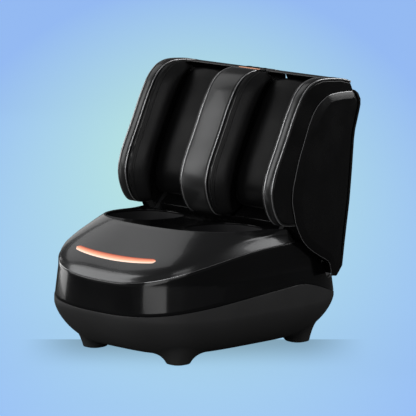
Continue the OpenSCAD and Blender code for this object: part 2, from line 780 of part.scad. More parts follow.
hose_r = 2.4;
hose_gap = 0.2;
hose_z = bag_z;                 // height of the long runs beside the foot wells
hose_turn_y = toe_rear_y + liner_t + hose_r + 1.5;
module hose(points) {
    for (i = [0:len(points) - 2]) let (a = points[i], b = points[i + 1], v = b - a) {
        translate(a) rotate([0, acos(v[2] / norm(v)), atan2(v[1], v[0])])
            cylinder(r = hose_r, h = norm(v), $fn = 24);
        if (i > 0) translate(a) sphere(r = hose_r + 0.3, $fn = 24);
    }
}

module air_hoses() {
    valve_end = valve_y - valve_size[1] / 2 - hose_gap;
    riser_y = valve_end - hose_r - 1.5;
    low_z = deck_z + port_h - 4;
    bag_end = bag_y + bag_size[1] / 2 + hose_gap;
    color("#8f969c") {
        hose([[pump_x, rear_bay_y + pump_size[1] / 2 + 2 + hose_gap, deck_z + port_h],
              [pump_x, valve_end, deck_z + port_h]]);
        for (side = [-1, 1])
        let (x = pump_x + (side < 0 ? 12 : 24), near = side * bag_x(-1), out = side * bag_x(1)) {
            hose([[x, valve_end, low_z], [x, riser_y, low_z], [x, riser_y, hose_z],
                  [near, riser_y, hose_z], [near, bag_end, hose_z]]);
            hose([[near + side * 1.5, hose_turn_y, hose_z], [out, hose_turn_y, hose_z], [out, bag_end, hose_z]]);
        }
    }
}

module power_board() {
    color("#1f6b45") translate([58, rear_bay_y, deck_z]) {
        for (sx = [-1, 1], sy = [-1, 1]) translate([sx * 38, sy * 20, 0.05]) cylinder(r = 3, h = 8, $fn = 24);
        translate([-42, -25, 8]) cube([84, 50, 1.6]);
        translate([-36, -20, 9.5]) cube([32, 30, 28]);
        translate([8, -20, 9.5]) cube([10, 40, 24]);
        for (i = [-1:1]) translate([30, i * 15, 9.5]) cylinder(r = 6.5, h = 26, $fn = 32);
    }
}

module control_board() {
    color("#1c5c8a") translate([54, valve_y, deck_z]) {
        for (sx = [-1, 1]) translate([sx * 36, 0, 0.05]) cylinder(r = 3, h = 12, $fn = 24);
        translate([-40, -11, 12]) cube([80, 22, 1.6]);
        translate([-8, -7, 13.5]) cube([16, 14, 2]);
        for (i = [0:2]) translate([16 + 8 * i, -8, 13.5]) cube([5, 8, 8]);
    }
}

inlet_x = 0;
inlet_w = 64;
inlet_h = 25.4;
inlet_z = 70;
inlet_y = half_d - 1;           // outer face of the inlet block
inlet_d = 40;
socket_x = -15;
rocker_x = 16;
rocker_y = inlet_y - 12;
module mains_inlet() {
    color("#121212") difference() {
        translate([inlet_x - inlet_w / 2, inlet_y - inlet_d, inlet_z - inlet_h / 2])
            cube([inlet_w, inlet_d, inlet_h]);
        for (sx = [-1, 1]) translate([socket_x + sx * 4.2, inlet_y + 1, inlet_z]) rotate([90, 0, 0])
            cylinder(r = 4.1, h = 15, $fn = 40);
        translate([socket_x - 4.2, inlet_y - 14, inlet_z - 3]) cube([8.4, 15, 6]);
        translate([rocker_x - rocker_w / 2 - fit_gap, inlet_y - 25, inlet_z - 10.4])
            cube([rocker_w + 2 * fit_gap, 26, 20.8]);
        translate([rocker_x, rocker_y, inlet_z]) x_rod(1.5 + run_gap, -rocker_w / 2 - 3, rocker_w / 2 + 3);
    }
    color("#c8c8c8") for (sx = [-1, 1]) translate([socket_x + sx * 4.2, inlet_y - 2, inlet_z]) rotate([90, 0, 0])
        cylinder(r = 1.2, h = 13, $fn = 24);
}

module power_rocker() {
    color("#d8d8d8") translate([rocker_x, rocker_y, inlet_z]) {
        slab([[-6, -3.5], [11, -7.6], [9.8, 0], [9, 7.6], [-6, 3.5]], -rocker_w / 2, rocker_w / 2);
        x_rod(1.5, -rocker_w / 2 - 2.5, rocker_w / 2 + 2.5);
    }
}

screw_r = 2.5;
screw_l = 12;
screw_head_h = 2.2;
screw_z = pad_t + 0.1;
module base_screws() {
    color("#7d8085") at_feet() translate([0, 0, screw_z]) {
        cylinder(r = 2 * screw_r, h = screw_head_h, $fn = 32);
        cylinder(r = screw_r, h = screw_l, $fn = 32);
    }
}

// ---------- calf hinge ----------

cheek_t = 4;
cheek_gap = 0.5;
module hinge_brackets() {
    z0 = beam_z + tube_s / 2;
    y0 = beam_y - tube_s / 2;
    color("#7a7e83") both_sides() difference() {
        union() {
            for (s = [-1, 1]) let (x = hinge_x + s * (arm_w / 2 + cheek_gap + cheek_t / 2)) {
                slab([[y0 + 1, z0 + 0.05], [y0 + tube_s - 1, z0 + 0.05], [hinge_y + 6, hinge_z + 6.5],
                      [hinge_y - 6, hinge_z + 6.5], [hinge_y - 8.5, hinge_z]], x - cheek_t / 2, x + cheek_t / 2);
                translate([0, hinge_y, hinge_z]) x_rod(9, x - cheek_t / 2, x + cheek_t / 2);
            }
            translate([hinge_x - arm_w / 2 - cheek_gap - cheek_t + 1, y0 + 2, z0 + 0.05])
                cube([arm_w + 2 * (cheek_gap + cheek_t) - 2, tube_s - 4, 3]);
        }
        translate([0, hinge_y, hinge_z]) x_rod(hinge_pin_r + run_gap, hinge_x - 30, hinge_x + 30);
    }
}

module hinge_pins() {
    l = arm_w / 2 + cheek_gap + cheek_t + fit_gap;
    color("#c4c7ca") both_sides() translate([0, hinge_y, hinge_z]) {
        x_rod(hinge_pin_r, hinge_x - l - 2, hinge_x + l + 2);
        for (s = [-1, 1]) translate([hinge_x + s * (l + 1), 0, 0]) x_rod(8, -1, 1);
    }
}

// ---------- calf unit, seen from the side ----------

// Line that the wall fronts, cushions and frame all follow, bottom to top
lean_line = [[2, 262], [0, 302], [7, 338], [20, 374], [38, 412], [57, 450], [76, 484], [92, 508], [108, 528]];
function behind(d, n = 20, from = 0, to = 1) =
    offset_line([for (i = [0:n]) on_line(lean_line, mix(from, to, i / n))], -d);

// Outline of the walls, from the rear of the foot round the front to the rear of the top
wall_line = [[64, 246], [43, 247.5], [26, 252], [14, 264], [5, 282], [0, 302], [0, 322], [6, 345],
             [16, 368], [28, 392], [41, 419], [54, 447], [67, 471], [77, 487], [90, 501], [107, 512],
             [134, 517.5], [182, 514], [209, 507]];
// Lower edge of the unit, front to rear
lower_edge = [[78, 219], [97, 200], [124, 183], [150, 167], [159, 163]];
// Rear edge of the side covers, bottom to top
rear_edge = [[164, 140], [178, 157], [185, 206], [197, 281], [203, 338], [208, 395], [211, 413],
             [221, 445], [225, 459], [225, 470], [217, 484]];

// Lower edge of the walls, front to rear, clear of the rear deck
wall_foot = [[84, 219], [100, 209.5], [125, 190], [151, 170.5], [172, 168]];

wall_skin = strip_t + 0.1;
function wall_core_line() = offset_line(wall_line, -wall_skin);

frame_front = rear_pad_back + rear_pad_t + rear_bag_t + 3 * fit_gap;
frame_t = 5;
inner_x = wall_x - side_wall_t;

wall_corner = [214, 490];       // upper rear corner of a side wall
wall_rear_z = [165, 484];       // heights between which its rear edge is the side cover's
cavity_wall = 3;
outer_cavity = [[30, 300], [40, 268], [88, 236], [158, 192], [178, 214], [196, 338], [204, 410], [214, 452],
                [212, 474], [192, 496], [134, 503], [104, 490], [70, 440], [38, 372]];

centre_cavity = [[30, 300], [44, 268], [80, 270], [88, 300], [100, 350], [120, 400], [145, 446], [150, 470],
                 [120, 485], [104, 484], [70, 440], [38, 372]];

module side_wall(side) {
    x0 = inner_x;
    mirror([side < 0 ? 1 : 0, 0, 0]) color("#0d0e0f") difference() {
        slab(concat(wall_core_line(), [wall_corner],
                    [for (q = reverse(rear_edge)) if (q[1] > wall_rear_z[0] && q[1] < wall_rear_z[1]) q],
                    reverse(wall_foot)),
             x0, wall_x);
        slab(outer_cavity, x0 + cavity_wall, wall_x - cavity_wall);
    }
}

// Upper rear corner of the centre wall, over the top end of the calf frame
centre_top = [[205, 503], [205, 482], [190, 476]];
module centre_wall() {
    w = centre_wall_w / 2;
    back = behind(frame_front - 0.2);
    n = len(back) - 1;
    color("#0d0e0f") difference() {
        slab(concat([for (q = wall_core_line()) if (q[0] < centre_top[0][0]) q], centre_top,
                    [for (i = [n:-1:0]) if (back[i][1] > 264) back[i]], [[84, 262]]), -w, w);
        slab(centre_cavity, -w + cavity_wall, w - cavity_wall);
        panel_pocket();
    }
}

module strip(x0, x1) {
    color("#4a4d50") slab(concat(wall_line, reverse(offset_line(wall_line, -strip_t))), x0, x1);
}

module centre_strip() {
    difference() {
        strip(welt_w + 0.4 - centre_wall_w / 2, centre_wall_w / 2 - welt_w - 0.4);
        on_panel() cube([panel_w + 2 * fit_gap, panel_d + 2 * fit_gap, 30], center = true);
    }
}

// Side cover outline with the share of the bevel at each point, anticlockwise
function side_outline() = concat(
    [[78, 219, 0.5], [97, 200, 0.9], [124, 183, 1], [150, 167, 0.6], [159, 163, 0.35]],
    [[160, 139, 0.1]],
    [for (i = [0:len(rear_edge) - 1]) let (q = rear_edge[i])
        [q[0] - fit_gap, q[1], i < 2 ? 0.15 : i < 7 ? 0.4 : 0.8]],
    [[208, 487.5, 1], [175, 488, 1], [151, 486, 1], [138, 481, 1], [122, 471, 1], [108, 456, 0.9],
     [95, 433, 0.7], [82, 402, 0.5], [69, 371, 0.45], [59, 338, 0.4], [54, 320, 0.4], [52, 303, 0.4],
     [52, 288, 0.4], [57, 268, 0.4], [62, 249, 0.4]]);

// Insets each point of the side cover by its own share
function bevel_path(p, d) = let (flat = [for (q = p) [q[0], q[1]]], one = inset_path(flat, 1))
    [for (i = [0:len(p) - 1]) flat[i] + (one[i] - flat[i]) * d * p[i][2]];

module side_cover(side) {
    p = side_outline();
    flat = [for (q = p) [q[0], q[1]]];
    x0 = wall_x + 0.1;
    x1 = wall_x + side_cover_t;
    function at(q, x) = [for (r = q) [x, r[0], r[1]]];
    mirror([side < 0 ? 1 : 0, 0, 0]) color("#0c0d0e") skin(reverse([
        at(bevel_path(p, side_bevel + 2), x1 - 2.5), at(inset_path(flat, 1.6), x0),
        at(flat, x0), at(flat, x0 + 1.5), at(bevel_path(p, side_bevel), x1)]));
}

rear_t = 3;
rear_w = wall_x + side_cover_t - 0.5;
corner_steps = 5;
// Top of the rear cover: distance behind the middle, height and share of the bulge
rear_top = [[225, 470, 1], [220, 482, 0.85], [214, 488, 0.6]];
rear_shelf = [211, 223.5];      // front and rear edge of the shelf that closes its top
module rear_cover() {
    levels = concat([for (i = [0:8]) [rear_edge[i][0], rear_edge[i][1], 1]], rear_top);
    shelf_z = rear_top[2][1];
    function ring(l) = let (y = l[0], b = rear_bulge * l[2], rc = rear_corner)
        let (outer = [for (i = [0:corner_steps]) let (a = 90 * i / corner_steps)
                 [rear_w - rc + rc * cos(a), y + b * sin(a), l[1]]],
             inner = [for (i = [0:corner_steps]) let (a = 90 * i / corner_steps)
                 [rear_w - rc + (rc - rear_t) * cos(a), y + (b - rear_t) * sin(a), l[1]]])
        concat(outer, [for (q = reverse(outer)) [-q[0], q[1], q[2]]],
               [for (q = inner) [-q[0], q[1], q[2]]], reverse(inner));
    color("#0b0c0d") {
        skin([for (l = reverse(levels)) ring(l)], thin = true);
        slab([[rear_shelf[0], shelf_z - rear_t], [rear_shelf[1], shelf_z - rear_t],
              [rear_shelf[1], shelf_z], [rear_shelf[0], shelf_z]], 0.2 - inner_x, inner_x - 0.2);
    }
}

cap_line = [[150, 516.5], [182, 513.6], [205, 506.5], [213.5, 490.5]];
module top_caps() {
    color("#101112") both_sides() slab(concat(cap_line, reverse(offset_line(cap_line, -rear_t))),
        centre_wall_w / 2 + 0.2, inner_x - 0.2);
}

pan_t = 3;
pan_front = [[93, 264], [67, 246], [80, 224]];
module base_pan() {
    line = concat(pan_front, [for (i = [1:len(wall_foot) - 1]) wall_foot[i] + [0, 1]]);
    color("#0a0a0b") difference() {
        slab(concat(line, reverse(offset_line(line, pan_t))), 0.2 - inner_x, inner_x - 0.2);
        both_sides() translate([hinge_x - arm_w / 2 - fit_gap, 0, 0]) cube([arm_w + 2 * fit_gap, 100, far]);
        translate([-centre_wall_w / 2 - 0.2, 0, 244]) cube([centre_wall_w + 0.4, 100, 100]);
    }
}

module calf_frame() {
    front = behind(frame_front);
    rear = behind(frame_front + frame_t);
    foot = front[0];
    d = unit(foot - [hinge_y, hinge_z]);
    n = [d[1], -d[0]] * (barrel_r - 4);
    color("#6d7176") {
        slab(concat(front, reverse(rear)), 0.2 - inner_x, inner_x - 0.2);
        both_sides() difference() {
            union() {
                slab([[hinge_y, hinge_z] - n, [hinge_y, hinge_z] + n, foot + n + [5, 2], foot + [5, 16], foot],
                     hinge_x - arm_w / 2, hinge_x + arm_w / 2);
                translate([0, hinge_y, hinge_z]) x_rod(barrel_r, hinge_x - arm_w / 2, hinge_x + arm_w / 2);
            }
            translate([0, hinge_y, hinge_z]) x_rod(hinge_pin_r, hinge_x - arm_w, hinge_x + arm_w);
        }
    }
}

// ---------- cushions ----------

pad_sides = 12;
// Drawn-in outline of a cushion: full along its length, rounded at both ends
function pad_swell(t) = pow(max(0.03, 1 - pow(abs(2 * t - 1), 7)), 0.5) * (1 - 0.03 * cos(360 * t));
pad_n = 3.2;
function pad_ring(c, across, out, w, h) = [for (k = [0:pad_sides])
    let (a = 180 * k / pad_sides, s = abs(sin(a)), e = 2 / pad_n)
    c + across * w * sign(cos(a)) * pow(abs(cos(a)), e) + out * h * (k % pad_sides == 0 ? 0 : pow(s, e))];

bag_from = 0.07;                // stretch of the lean line that the air bags cover
bag_to = 0.85;
bag_front = 16;                 // setback of the side bags behind the lean line
bag_short = 9;                  // how far they end in front of the rear cushions

// A side cushion lies between the wall's front edge and this line in front of the rear cushion
pad_rear_line = [[57, 257], [50, 266], [46, 281], [45, 302], [51, 325], [62, 357], [79, 393], [98, 432],
                 [116, 463], [130, 483], [144, 495], [160, 500]];
wall_from = 0.04;               // stretch of the wall line that a side cushion follows
wall_to = 0.9;
side_steps = 26;
crown_n = 2.4;

// Section of a side cushion: distance behind the wall's front edge, and height over the wall's face.
// Its cover wraps over the front of the wall as far as the trim strip.
function side_section(l, h) = concat(
    [[l, side_bag_t + fit_gap]],
    [for (k = [1:pad_sides - 2]) let (a = 180 * k / pad_sides, s = sin(a), c = cos(a))
        [l * (0.5 + 0.5 * sign(c) * pow(abs(c), 2 / pad_n)), side_bag_t + fit_gap + h * pow(s, 2 / crown_n)]],
    [[0, side_bag_t - 1.5], [0, -welt_w + 1], [0.9, -welt_w], [strip_t - 0.4, -welt_w],
     [strip_t - 0.2, side_bag_t + fit_gap]]);

// Cushion on the face of a wall: x is the wall face, out is +1 or -1
module side_pad(x, out) {
    rings = [for (i = [0:side_steps])
        let (t = i / side_steps, f = on_line(wall_line, mix(wall_from, wall_to, t)),
             r = on_line(pad_rear_line, t), v = unit(r - f), l = norm(r - f),
             h = side_pad_t * pow(min(1, l / (rear_pad_back + 2)), 0.8))
        [for (q = side_section(l, h)) [x + out * q[1], f[0] + v[0] * q[0], f[1] + v[1] * q[0]]]];
    color("#121213") skin(out > 0 ? rings : [for (r = rings) reverse(r)]);
}

// The lean line with its top rolled over to the rear, for the rear cushions
roll_line = concat([for (i = [0:7]) lean_line[i]], [[110, 526], [134, 543], [165, 549]]);
rear_steps = 26;
function rolled(d) = offset_line([for (i = [0:rear_steps]) on_line(roll_line, i / rear_steps)], -d);

module rear_pad(side) {
    back = rolled(rear_pad_back + rear_pad_t);
    front = rolled(rear_pad_back);
    w = (inner_x - centre_wall_w / 2) / 2 - 0.8;
    x = (inner_x + centre_wall_w / 2) / 2;
    color("#161617") skin([for (i = [0:rear_steps])
        let (t = i / rear_steps, s = pad_swell(t), v = front[i] - back[i])
        pad_ring([side * x, back[i][0], back[i][1]], [1, 0, 0], [0, v[0], v[1]],
                 w * mix(0.9, 1, s), mix(0.35, 1, s))]);
}

module calf_airbags() {
    c = centre_wall_w / 2;
    color("#596069") both_sides() {
        for (x = [c + 0.15, inner_x - side_bag_t - 0.15])
            slab(concat(behind(bag_front, 12, bag_from, bag_to),
                        reverse(behind(rear_pad_back - bag_short, 12, bag_from, bag_to))),
                 x, x + side_bag_t);
        slab(concat(behind(rear_pad_back + rear_pad_t + fit_gap, 20, 0, bag_to),
                    reverse(behind(rear_pad_back + rear_pad_t + fit_gap + rear_bag_t, 20, 0, bag_to))),
             c + 8, inner_x - 8);
    }
}

// ---------- controls on the centre wall ----------

top_a = wall_line[len(wall_line) - 3];
top_b = wall_line[len(wall_line) - 2];
panel_tilt = atan2(top_b[1] - top_a[1], top_b[0] - top_a[0]);
module on_panel() {
    translate([0, (top_a[0] + top_b[0]) / 2, (top_a[1] + top_b[1]) / 2]) rotate([panel_tilt, 0, 0]) children();
}

board_drop = 7;
pocket_drop = 13;
module panel_pocket() {
    on_panel() translate([-panel_w / 2 + 3, -panel_d / 2 + 3, -pocket_drop]) cube([panel_w - 6, panel_d - 6, 40]);
}

accent_y = -10;
button_y = 9;
module control_panel() {
    color("#08080a") on_panel() difference() {
        translate([-panel_w / 2, -panel_d / 2, -strip_t]) cube([panel_w, panel_d, panel_t]);
        translate([0, accent_y, 0]) cube([accent_w + 0.4, accent_d + 0.4, 40], center = true);
        for (i = [-1:1]) translate([i * button_gap, button_y, -20])
            cylinder(r = button_r + 0.25, h = 40, $fn = 48);
    }
}

module accent_bar() {
    color("#e08a5a") on_panel() {
        translate([-accent_w / 2, accent_y - accent_d / 2, -strip_t - 0.1])
            cube([accent_w, accent_d, panel_t + 0.5]);
        translate([-accent_w / 2 - 1, accent_y - accent_d / 2 - 1, -strip_t - 1.1])
            cube([accent_w + 2, accent_d + 2, 1.05]);
    }
}

module panel_board() {
    color("#1d5a36") on_panel() {
        translate([-panel_w / 2 + 4, -panel_d / 2 + 4, -strip_t - board_drop + 1.6])
            cube([panel_w - 8, panel_d - 8, 1.6]);
        for (sx = [-1, 1], sy = [-1, 1]) translate([sx * 26, sy * 16, -pocket_drop + 0.05])
            cylinder(r = 2, h = pocket_drop - strip_t - board_drop + 2, $fn = 24);
    }
}

cap_proud = 1.4;
module button(i) {
    color("#26272a") on_panel() translate([i * button_gap, button_y, 0]) {
        translate([0, 0, -strip_t - 1.2]) cylinder(r = button_r, h = panel_t + cap_proud + 1.2, $fn = 48);
        translate([0, 0, -strip_t - 1.3]) cylinder(r = button_r + 1.2, h = 1.2, $fn = 48);
    }
}

// ---------- the pieces ----------

bottom_shell();
feet();
rubber_feet();
side_band();
top_cover();
top_plate();
rear_deck();
light_lens();
light_board();
foot_liner(1);  // foot_liner_left
foot_liner(-1);  // foot_liner_right
sole_trays();
foot_airbags();
chassis();
bearing_blocks();
drive_motor();
drive_belt();
air_pump();
valve_block();
air_hoses();
power_board();
control_board();
mains_inlet();
hinge_brackets();
base_screws();
motor_pinion();
drive_gear();
roller_shaft(rear_shaft_y);  // rear_roller_shaft
rollers(rear_shaft_y);  // rear_rollers
pulley(rear_shaft_y);  // rear_pulley
roller_shaft(-front_shaft_y);  // front_roller_shaft
rollers(-front_shaft_y);  // front_rollers
pulley(-front_shaft_y);  // front_pulley
power_rocker();
calf_frame();
hinge_pins();
rear_cover();
side_cover(1);  // side_cover_left
side_cover(-1);  // side_cover_right
side_wall(1);  // left_wall
centre_wall();
side_wall(-1);  // right_wall
strip(inner_x + welt_w + 0.4, wall_x);  // left_strip
centre_strip();
strip(-wall_x, -inner_x - welt_w - 0.4);  // right_strip
side_pad(inner_x, -1);  // left_outer_cushion
side_pad(centre_wall_w / 2, 1);  // left_inner_cushion
side_pad(-centre_wall_w / 2, -1);  // right_inner_cushion
side_pad(-inner_x, 1);  // right_outer_cushion
rear_pad(1);  // left_rear_cushion
rear_pad(-1);  // right_rear_cushion
calf_airbags();
top_caps();
base_pan();
control_panel();
accent_bar();
panel_board();
button(-1);  // mode_button
button(0);  // power_button
button(1);  // heat_button
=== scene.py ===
# %% [markdown]
# # A foot and calf massager
# The machine stands on the floor. Two foot wells go down into a glossy base, and a padded
# calf unit leans back on it. The working model comes first, and the visible skins are built
# over it in millimetres, then scaled to metres.

# %% Load the working model
import math

import bmesh
import bpy
from mathutils import Matrix, Vector


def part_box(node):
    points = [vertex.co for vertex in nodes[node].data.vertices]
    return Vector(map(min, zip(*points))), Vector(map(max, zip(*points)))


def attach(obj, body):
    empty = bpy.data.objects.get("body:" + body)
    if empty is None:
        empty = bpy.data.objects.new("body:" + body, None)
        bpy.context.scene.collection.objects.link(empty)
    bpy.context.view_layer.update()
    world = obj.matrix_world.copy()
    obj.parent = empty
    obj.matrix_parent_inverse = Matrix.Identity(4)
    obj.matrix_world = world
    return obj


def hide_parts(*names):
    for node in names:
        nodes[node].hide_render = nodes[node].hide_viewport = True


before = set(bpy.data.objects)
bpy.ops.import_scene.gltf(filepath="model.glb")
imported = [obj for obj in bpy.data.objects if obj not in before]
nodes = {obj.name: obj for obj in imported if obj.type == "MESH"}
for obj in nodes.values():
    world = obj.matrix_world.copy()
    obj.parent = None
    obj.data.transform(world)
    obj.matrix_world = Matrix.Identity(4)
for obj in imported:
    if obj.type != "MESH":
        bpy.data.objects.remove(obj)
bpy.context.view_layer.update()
print("working model:", len(nodes), "pieces")

# %% [markdown]
# Blender keeps a mesh, a lamp or a camera as data, and an object puts it into the scene. The
# helpers below are used for every new piece, so they come first. The last one gives an
# object's mesh as its modifiers leave it.

# %% New objects and meshes
def add_object(name, data):
    made = bpy.data.objects.new(name, data)
    bpy.context.scene.collection.objects.link(made)
    return made


def mesh_from(bm, name):
    mesh = bpy.data.meshes.new(name)
    bm.to_mesh(mesh)
    bm.free()
    return mesh


def copy_evaluated(piece):
    bpy.context.view_layer.update()
    seen = piece.evaluated_get(bpy.context.evaluated_depsgraph_get())
    return bpy.data.meshes.new_from_object(seen)


# %% [markdown]
# ## Camera
# A long lens from far away keeps the sides of the base nearly parallel, as in a catalogue shot.

# %% Camera
azimuth = math.radians(46.1)
elevation = math.radians(9.4)
aim = Vector((-0.01523, 0.05306, 0.25501))
back = Vector((math.sin(azimuth) * math.cos(elevation),
               -math.cos(azimuth) * math.cos(elevation),
               math.sin(elevation)))
camera = add_object("camera", bpy.data.cameras.new("camera"))
camera.data.lens = 345
camera.data.sensor_width = 36
camera.data.clip_end = 60
camera.location = aim + back * 7.5937
camera.rotation_mode = "QUATERNION"
camera.rotation_quaternion = (-back).to_track_quat("-Z", "Y")
bpy.context.scene.camera = camera
bpy.context.scene.view_settings.view_transform = "Standard"
print("camera at", [round(v, 2) for v in camera.location])

# %% [markdown]
# ## Finishes
# Each finish is a small node tree on a Principled shader. A noise or cell pattern on Object
# coordinates drives a bump and a little change in roughness, because real moulded plastic is
# never perfectly even. The sizes are real: a grain of 1 mm is a pattern scale of 1000.

# %% Nodes and their inputs
def feed(node, inputs):
    """Sets inputs of a node: the output of another node is linked, anything else is a value."""
    for key, value in inputs.items():
        if isinstance(value, bpy.types.NodeSocket):
            node.id_data.links.new(value, node.inputs[key])
        else:
            node.inputs[key].default_value = value


def add_node(tree, kind, inputs=(), **settings):
    node = tree.nodes.new("ShaderNode" + kind)
    for key, value in settings.items():
        setattr(node, key, value)
    feed(node, dict(inputs))
    return node


# %% A blank finish and its patterns
def blank_look(name, color, rough, metal=0.0, coat=0.0, coat_rough=0.03):
    look = bpy.data.materials.new(name)
    look.use_nodes = True
    look.diffuse_color = (*color, 1)
    shader = look.node_tree.nodes["Principled BSDF"]
    feed(shader, {"Base Color": (*color, 1), "Roughness": rough, "Metallic": metal,
                  "Coat Weight": coat, "Coat Roughness": coat_rough})
    return look, look.node_tree, shader


def noise(tree, scale, detail=3.0, stretch=(1, 1, 1)):
    place = add_node(tree, "TexCoord").outputs["Object"]
    turn = add_node(tree, "Mapping", {"Vector": place, "Scale": stretch})
    pattern = {"Vector": turn.outputs["Vector"], "Scale": scale, "Detail": detail}
    return add_node(tree, "TexNoise", pattern).outputs["Fac"]


def spread(tree, value, at_low, at_high, low=0.3, high=0.7, kind="LINEAR"):
    """Runs from one number to another while a value runs from low to high."""
    ends = {"Value": value, "From Min": low, "From Max": high, "To Min": at_low, "To Max": at_high}
    return add_node(tree, "MapRange", ends, interpolation_type=kind).outputs["Result"]


def bump(shader, height, depth, under=()):
    """Adds relief to a shader, over the relief that is there already."""
    relief = {"Strength": 1, "Distance": depth, "Height": height, **dict(under)}
    normal = add_node(shader.id_data, "Bump", relief).outputs["Normal"]
    feed(shader, {"Normal": normal})
    return {"Normal": normal}


def tint(tree, value, dark, light):
    ends = {"Factor": value, "A": (*dark, 1), "B": (*light, 1)}
    return add_node(tree, "Mix", ends, data_type="RGBA").outputs["Result"]


# %% [markdown]
# Most of the machine is moulded plastic or painted metal. One recipe makes them all: a fine
# grain for the surface and a broad one for the uneven gloss that handling and moulding leave.

# %% Moulded and painted finishes
def moulded(name, color, rough, grain=1500, depth=0.00002, uneven=0.05, metal=0.0, coat=0.0):
    look, tree, shader = blank_look(name, color, rough, metal, coat)
    broad = noise(tree, 14, 4)
    darker = tuple(c * 0.85 for c in color)
    lighter = tuple(min(1, c * 1.12) for c in color)
    feed(shader, {"Roughness": spread(tree, broad, rough - uneven, rough + uneven),
                  "Base Color": tint(tree, broad, darker, lighter)})
    bump(shader, noise(tree, grain), depth)
    return look


shell_black = moulded("shell_black", (0.007, 0.0071, 0.0075), 0.26, 1400, 0.00003)
hull_black = moulded("hull_black", (0.055, 0.0553, 0.0562), 0.5, 1400, 0.00003)
gloss_black = moulded("gloss_black", (0.006, 0.0062, 0.0068), 0.17, 90, 0.000012, 0.03, coat=0.25)
wall_black = moulded("wall_black", (0.006, 0.0061, 0.0065), 0.26, 1200, 0.00003)
liner_grey = moulded("liner_grey", (0.02, 0.02, 0.022), 0.7, 1100, 0.0001)
foot_rubber = moulded("foot_rubber", (0.012, 0.012, 0.012), 0.8, 1800, 0.00005)
roller_orange = moulded("roller_orange", (0.55, 0.2, 0.06), 0.6, 900, 0.00004)
frame_paint = moulded("frame_paint", (0.01, 0.0102, 0.011), 0.7, 700, 0.00004)
motor_silver = moulded("motor_silver", (0.4, 0.41, 0.43), 0.35, 600, 0.00002, metal=0.8)
nylon_white = moulded("nylon_white", (0.72, 0.71, 0.66), 0.5, 1500, 0.00002)
belt_black = moulded("belt_black", (0.01, 0.01, 0.01), 0.65, 1500, 0.00005)
pump_grey = moulded("pump_grey", (0.04, 0.045, 0.05), 0.55, 1200, 0.00005)
valve_ivory = moulded("valve_ivory", (0.62, 0.58, 0.48), 0.5, 1200, 0.00003)
hose_grey = moulded("hose_grey", (0.28, 0.31, 0.34), 0.35, 1500, 0.00001)
bag_rubber = moulded("bag_rubber", (0.09, 0.1, 0.12), 0.6, 1600, 0.00006)
inlet_black = moulded("inlet_black", (0.012, 0.012, 0.012), 0.5, 1500, 0.00003)
key_grey = moulded("key_grey", (0.022, 0.0225, 0.024), 0.45, 1500, 0.00003)
rocker_grey = moulded("rocker_grey", (0.6, 0.6, 0.6), 0.4, 1500, 0.00002)
panel_black = moulded("panel_black", (0.006, 0.006, 0.007), 0.12, 90, 0.00001, 0.02, coat=0.4)
bright_steel = moulded("bright_steel", (0.55, 0.56, 0.58), 0.25, 900, 0.00001, metal=1.0)
pinion_brass = moulded("pinion_brass", (0.6, 0.42, 0.14), 0.3, 900, 0.00001, metal=1.0)

# %% [markdown]
# The top cover has metallic paint: dark grey, full of tiny flakes, under clear lacquer. The
# trim on the walls is the same family, a little lighter and more satin. A much lighter metallic
# finish is a painted highlight: it goes on the trims' beads and other thin edges, for the bright
# lines that light draws along them. The flakes are a very fine noise that changes the colour a
# little, and the lacquer is the shader's coat.

# %% Metallic paint
def metallic(name, dark, light, rough, coat):
    look, tree, shader = blank_look(name, light, rough, 0.7, coat, 0.05)
    flakes = noise(tree, 2600, 1)
    broad = noise(tree, 9, 3)
    feed(shader, {"Base Color": tint(tree, flakes, dark, light),
                  "Roughness": spread(tree, broad, rough - 0.03, rough + 0.04)})
    bump(shader, flakes, 0.000008)
    return look


cover_grey = metallic("cover_grey", (0.035, 0.0355, 0.0365), (0.075, 0.076, 0.078), 0.24, 0.35)
trim_grey = metallic("trim_grey", (0.04, 0.0405, 0.041), (0.08, 0.081, 0.082), 0.34, 0.1)
# Painted highlight: a much lighter metallic finish for thin edges, standing for the bright lines light
# draws along them.
painted_highlight_edge = metallic("painted_highlight_edge", (0.45, 0.45, 0.46), (0.7, 0.7, 0.71), 0.22, 0.3)

# %% [markdown]
# The cushions are covered in black synthetic leather: a pebbled grain of about 1 mm, soft
# gloss on the crowns and a fine wrinkle that runs across the stretch. The rear cushions get a
# darker, less glossy copy of it, painted shade for where the side cushions shadow them. The
# piping is lighter, a painted sheen for the bright lines along the seams. Cells make the
# pebbles, because noise alone has no edges between them.

# %% Synthetic leather
def leather(name, color, shine=0.25):
    look, tree, shader = blank_look(name, color, 0.42, 0, 0.06, 0.25)
    place = add_node(tree, "TexCoord").outputs["Object"]
    pebbles = add_node(tree, "TexVoronoi", {"Vector": place, "Scale": 850})
    wrinkles = bump(shader, noise(tree, 60, 5, (1.0, 1.0, 0.35)), 0.0003)
    bump(shader, pebbles.outputs["Distance"], 0.00012, wrinkles)
    broad = noise(tree, 18, 3)
    darker, lighter = (tuple(c * k for c in color) for k in (0.8, 1.25))
    feed(shader, {"Specular IOR Level": shine, "Roughness": spread(tree, broad, 0.36, 0.5),
                  "Base Color": tint(tree, broad, darker, lighter)})
    return look


cushion_black = leather("cushion_black", (0.014, 0.014, 0.0145))
# Painted shade: the same leather made darker and duller, for the shadowed rear cushions.
cushion_painted_shade = leather("cushion_painted_shade", (0.007, 0.007, 0.0073), 0.08)
# Painted sheen: the piping is lighter than the cushions, for the bright lines along their seams.
painted_sheen_piping = leather("painted_sheen_piping", (0.09, 0.09, 0.092))

# %% [markdown]
# Circuit boards are green lacquer over copper tracks. They sit deep inside, so a cell pattern
# stands for the tracks.

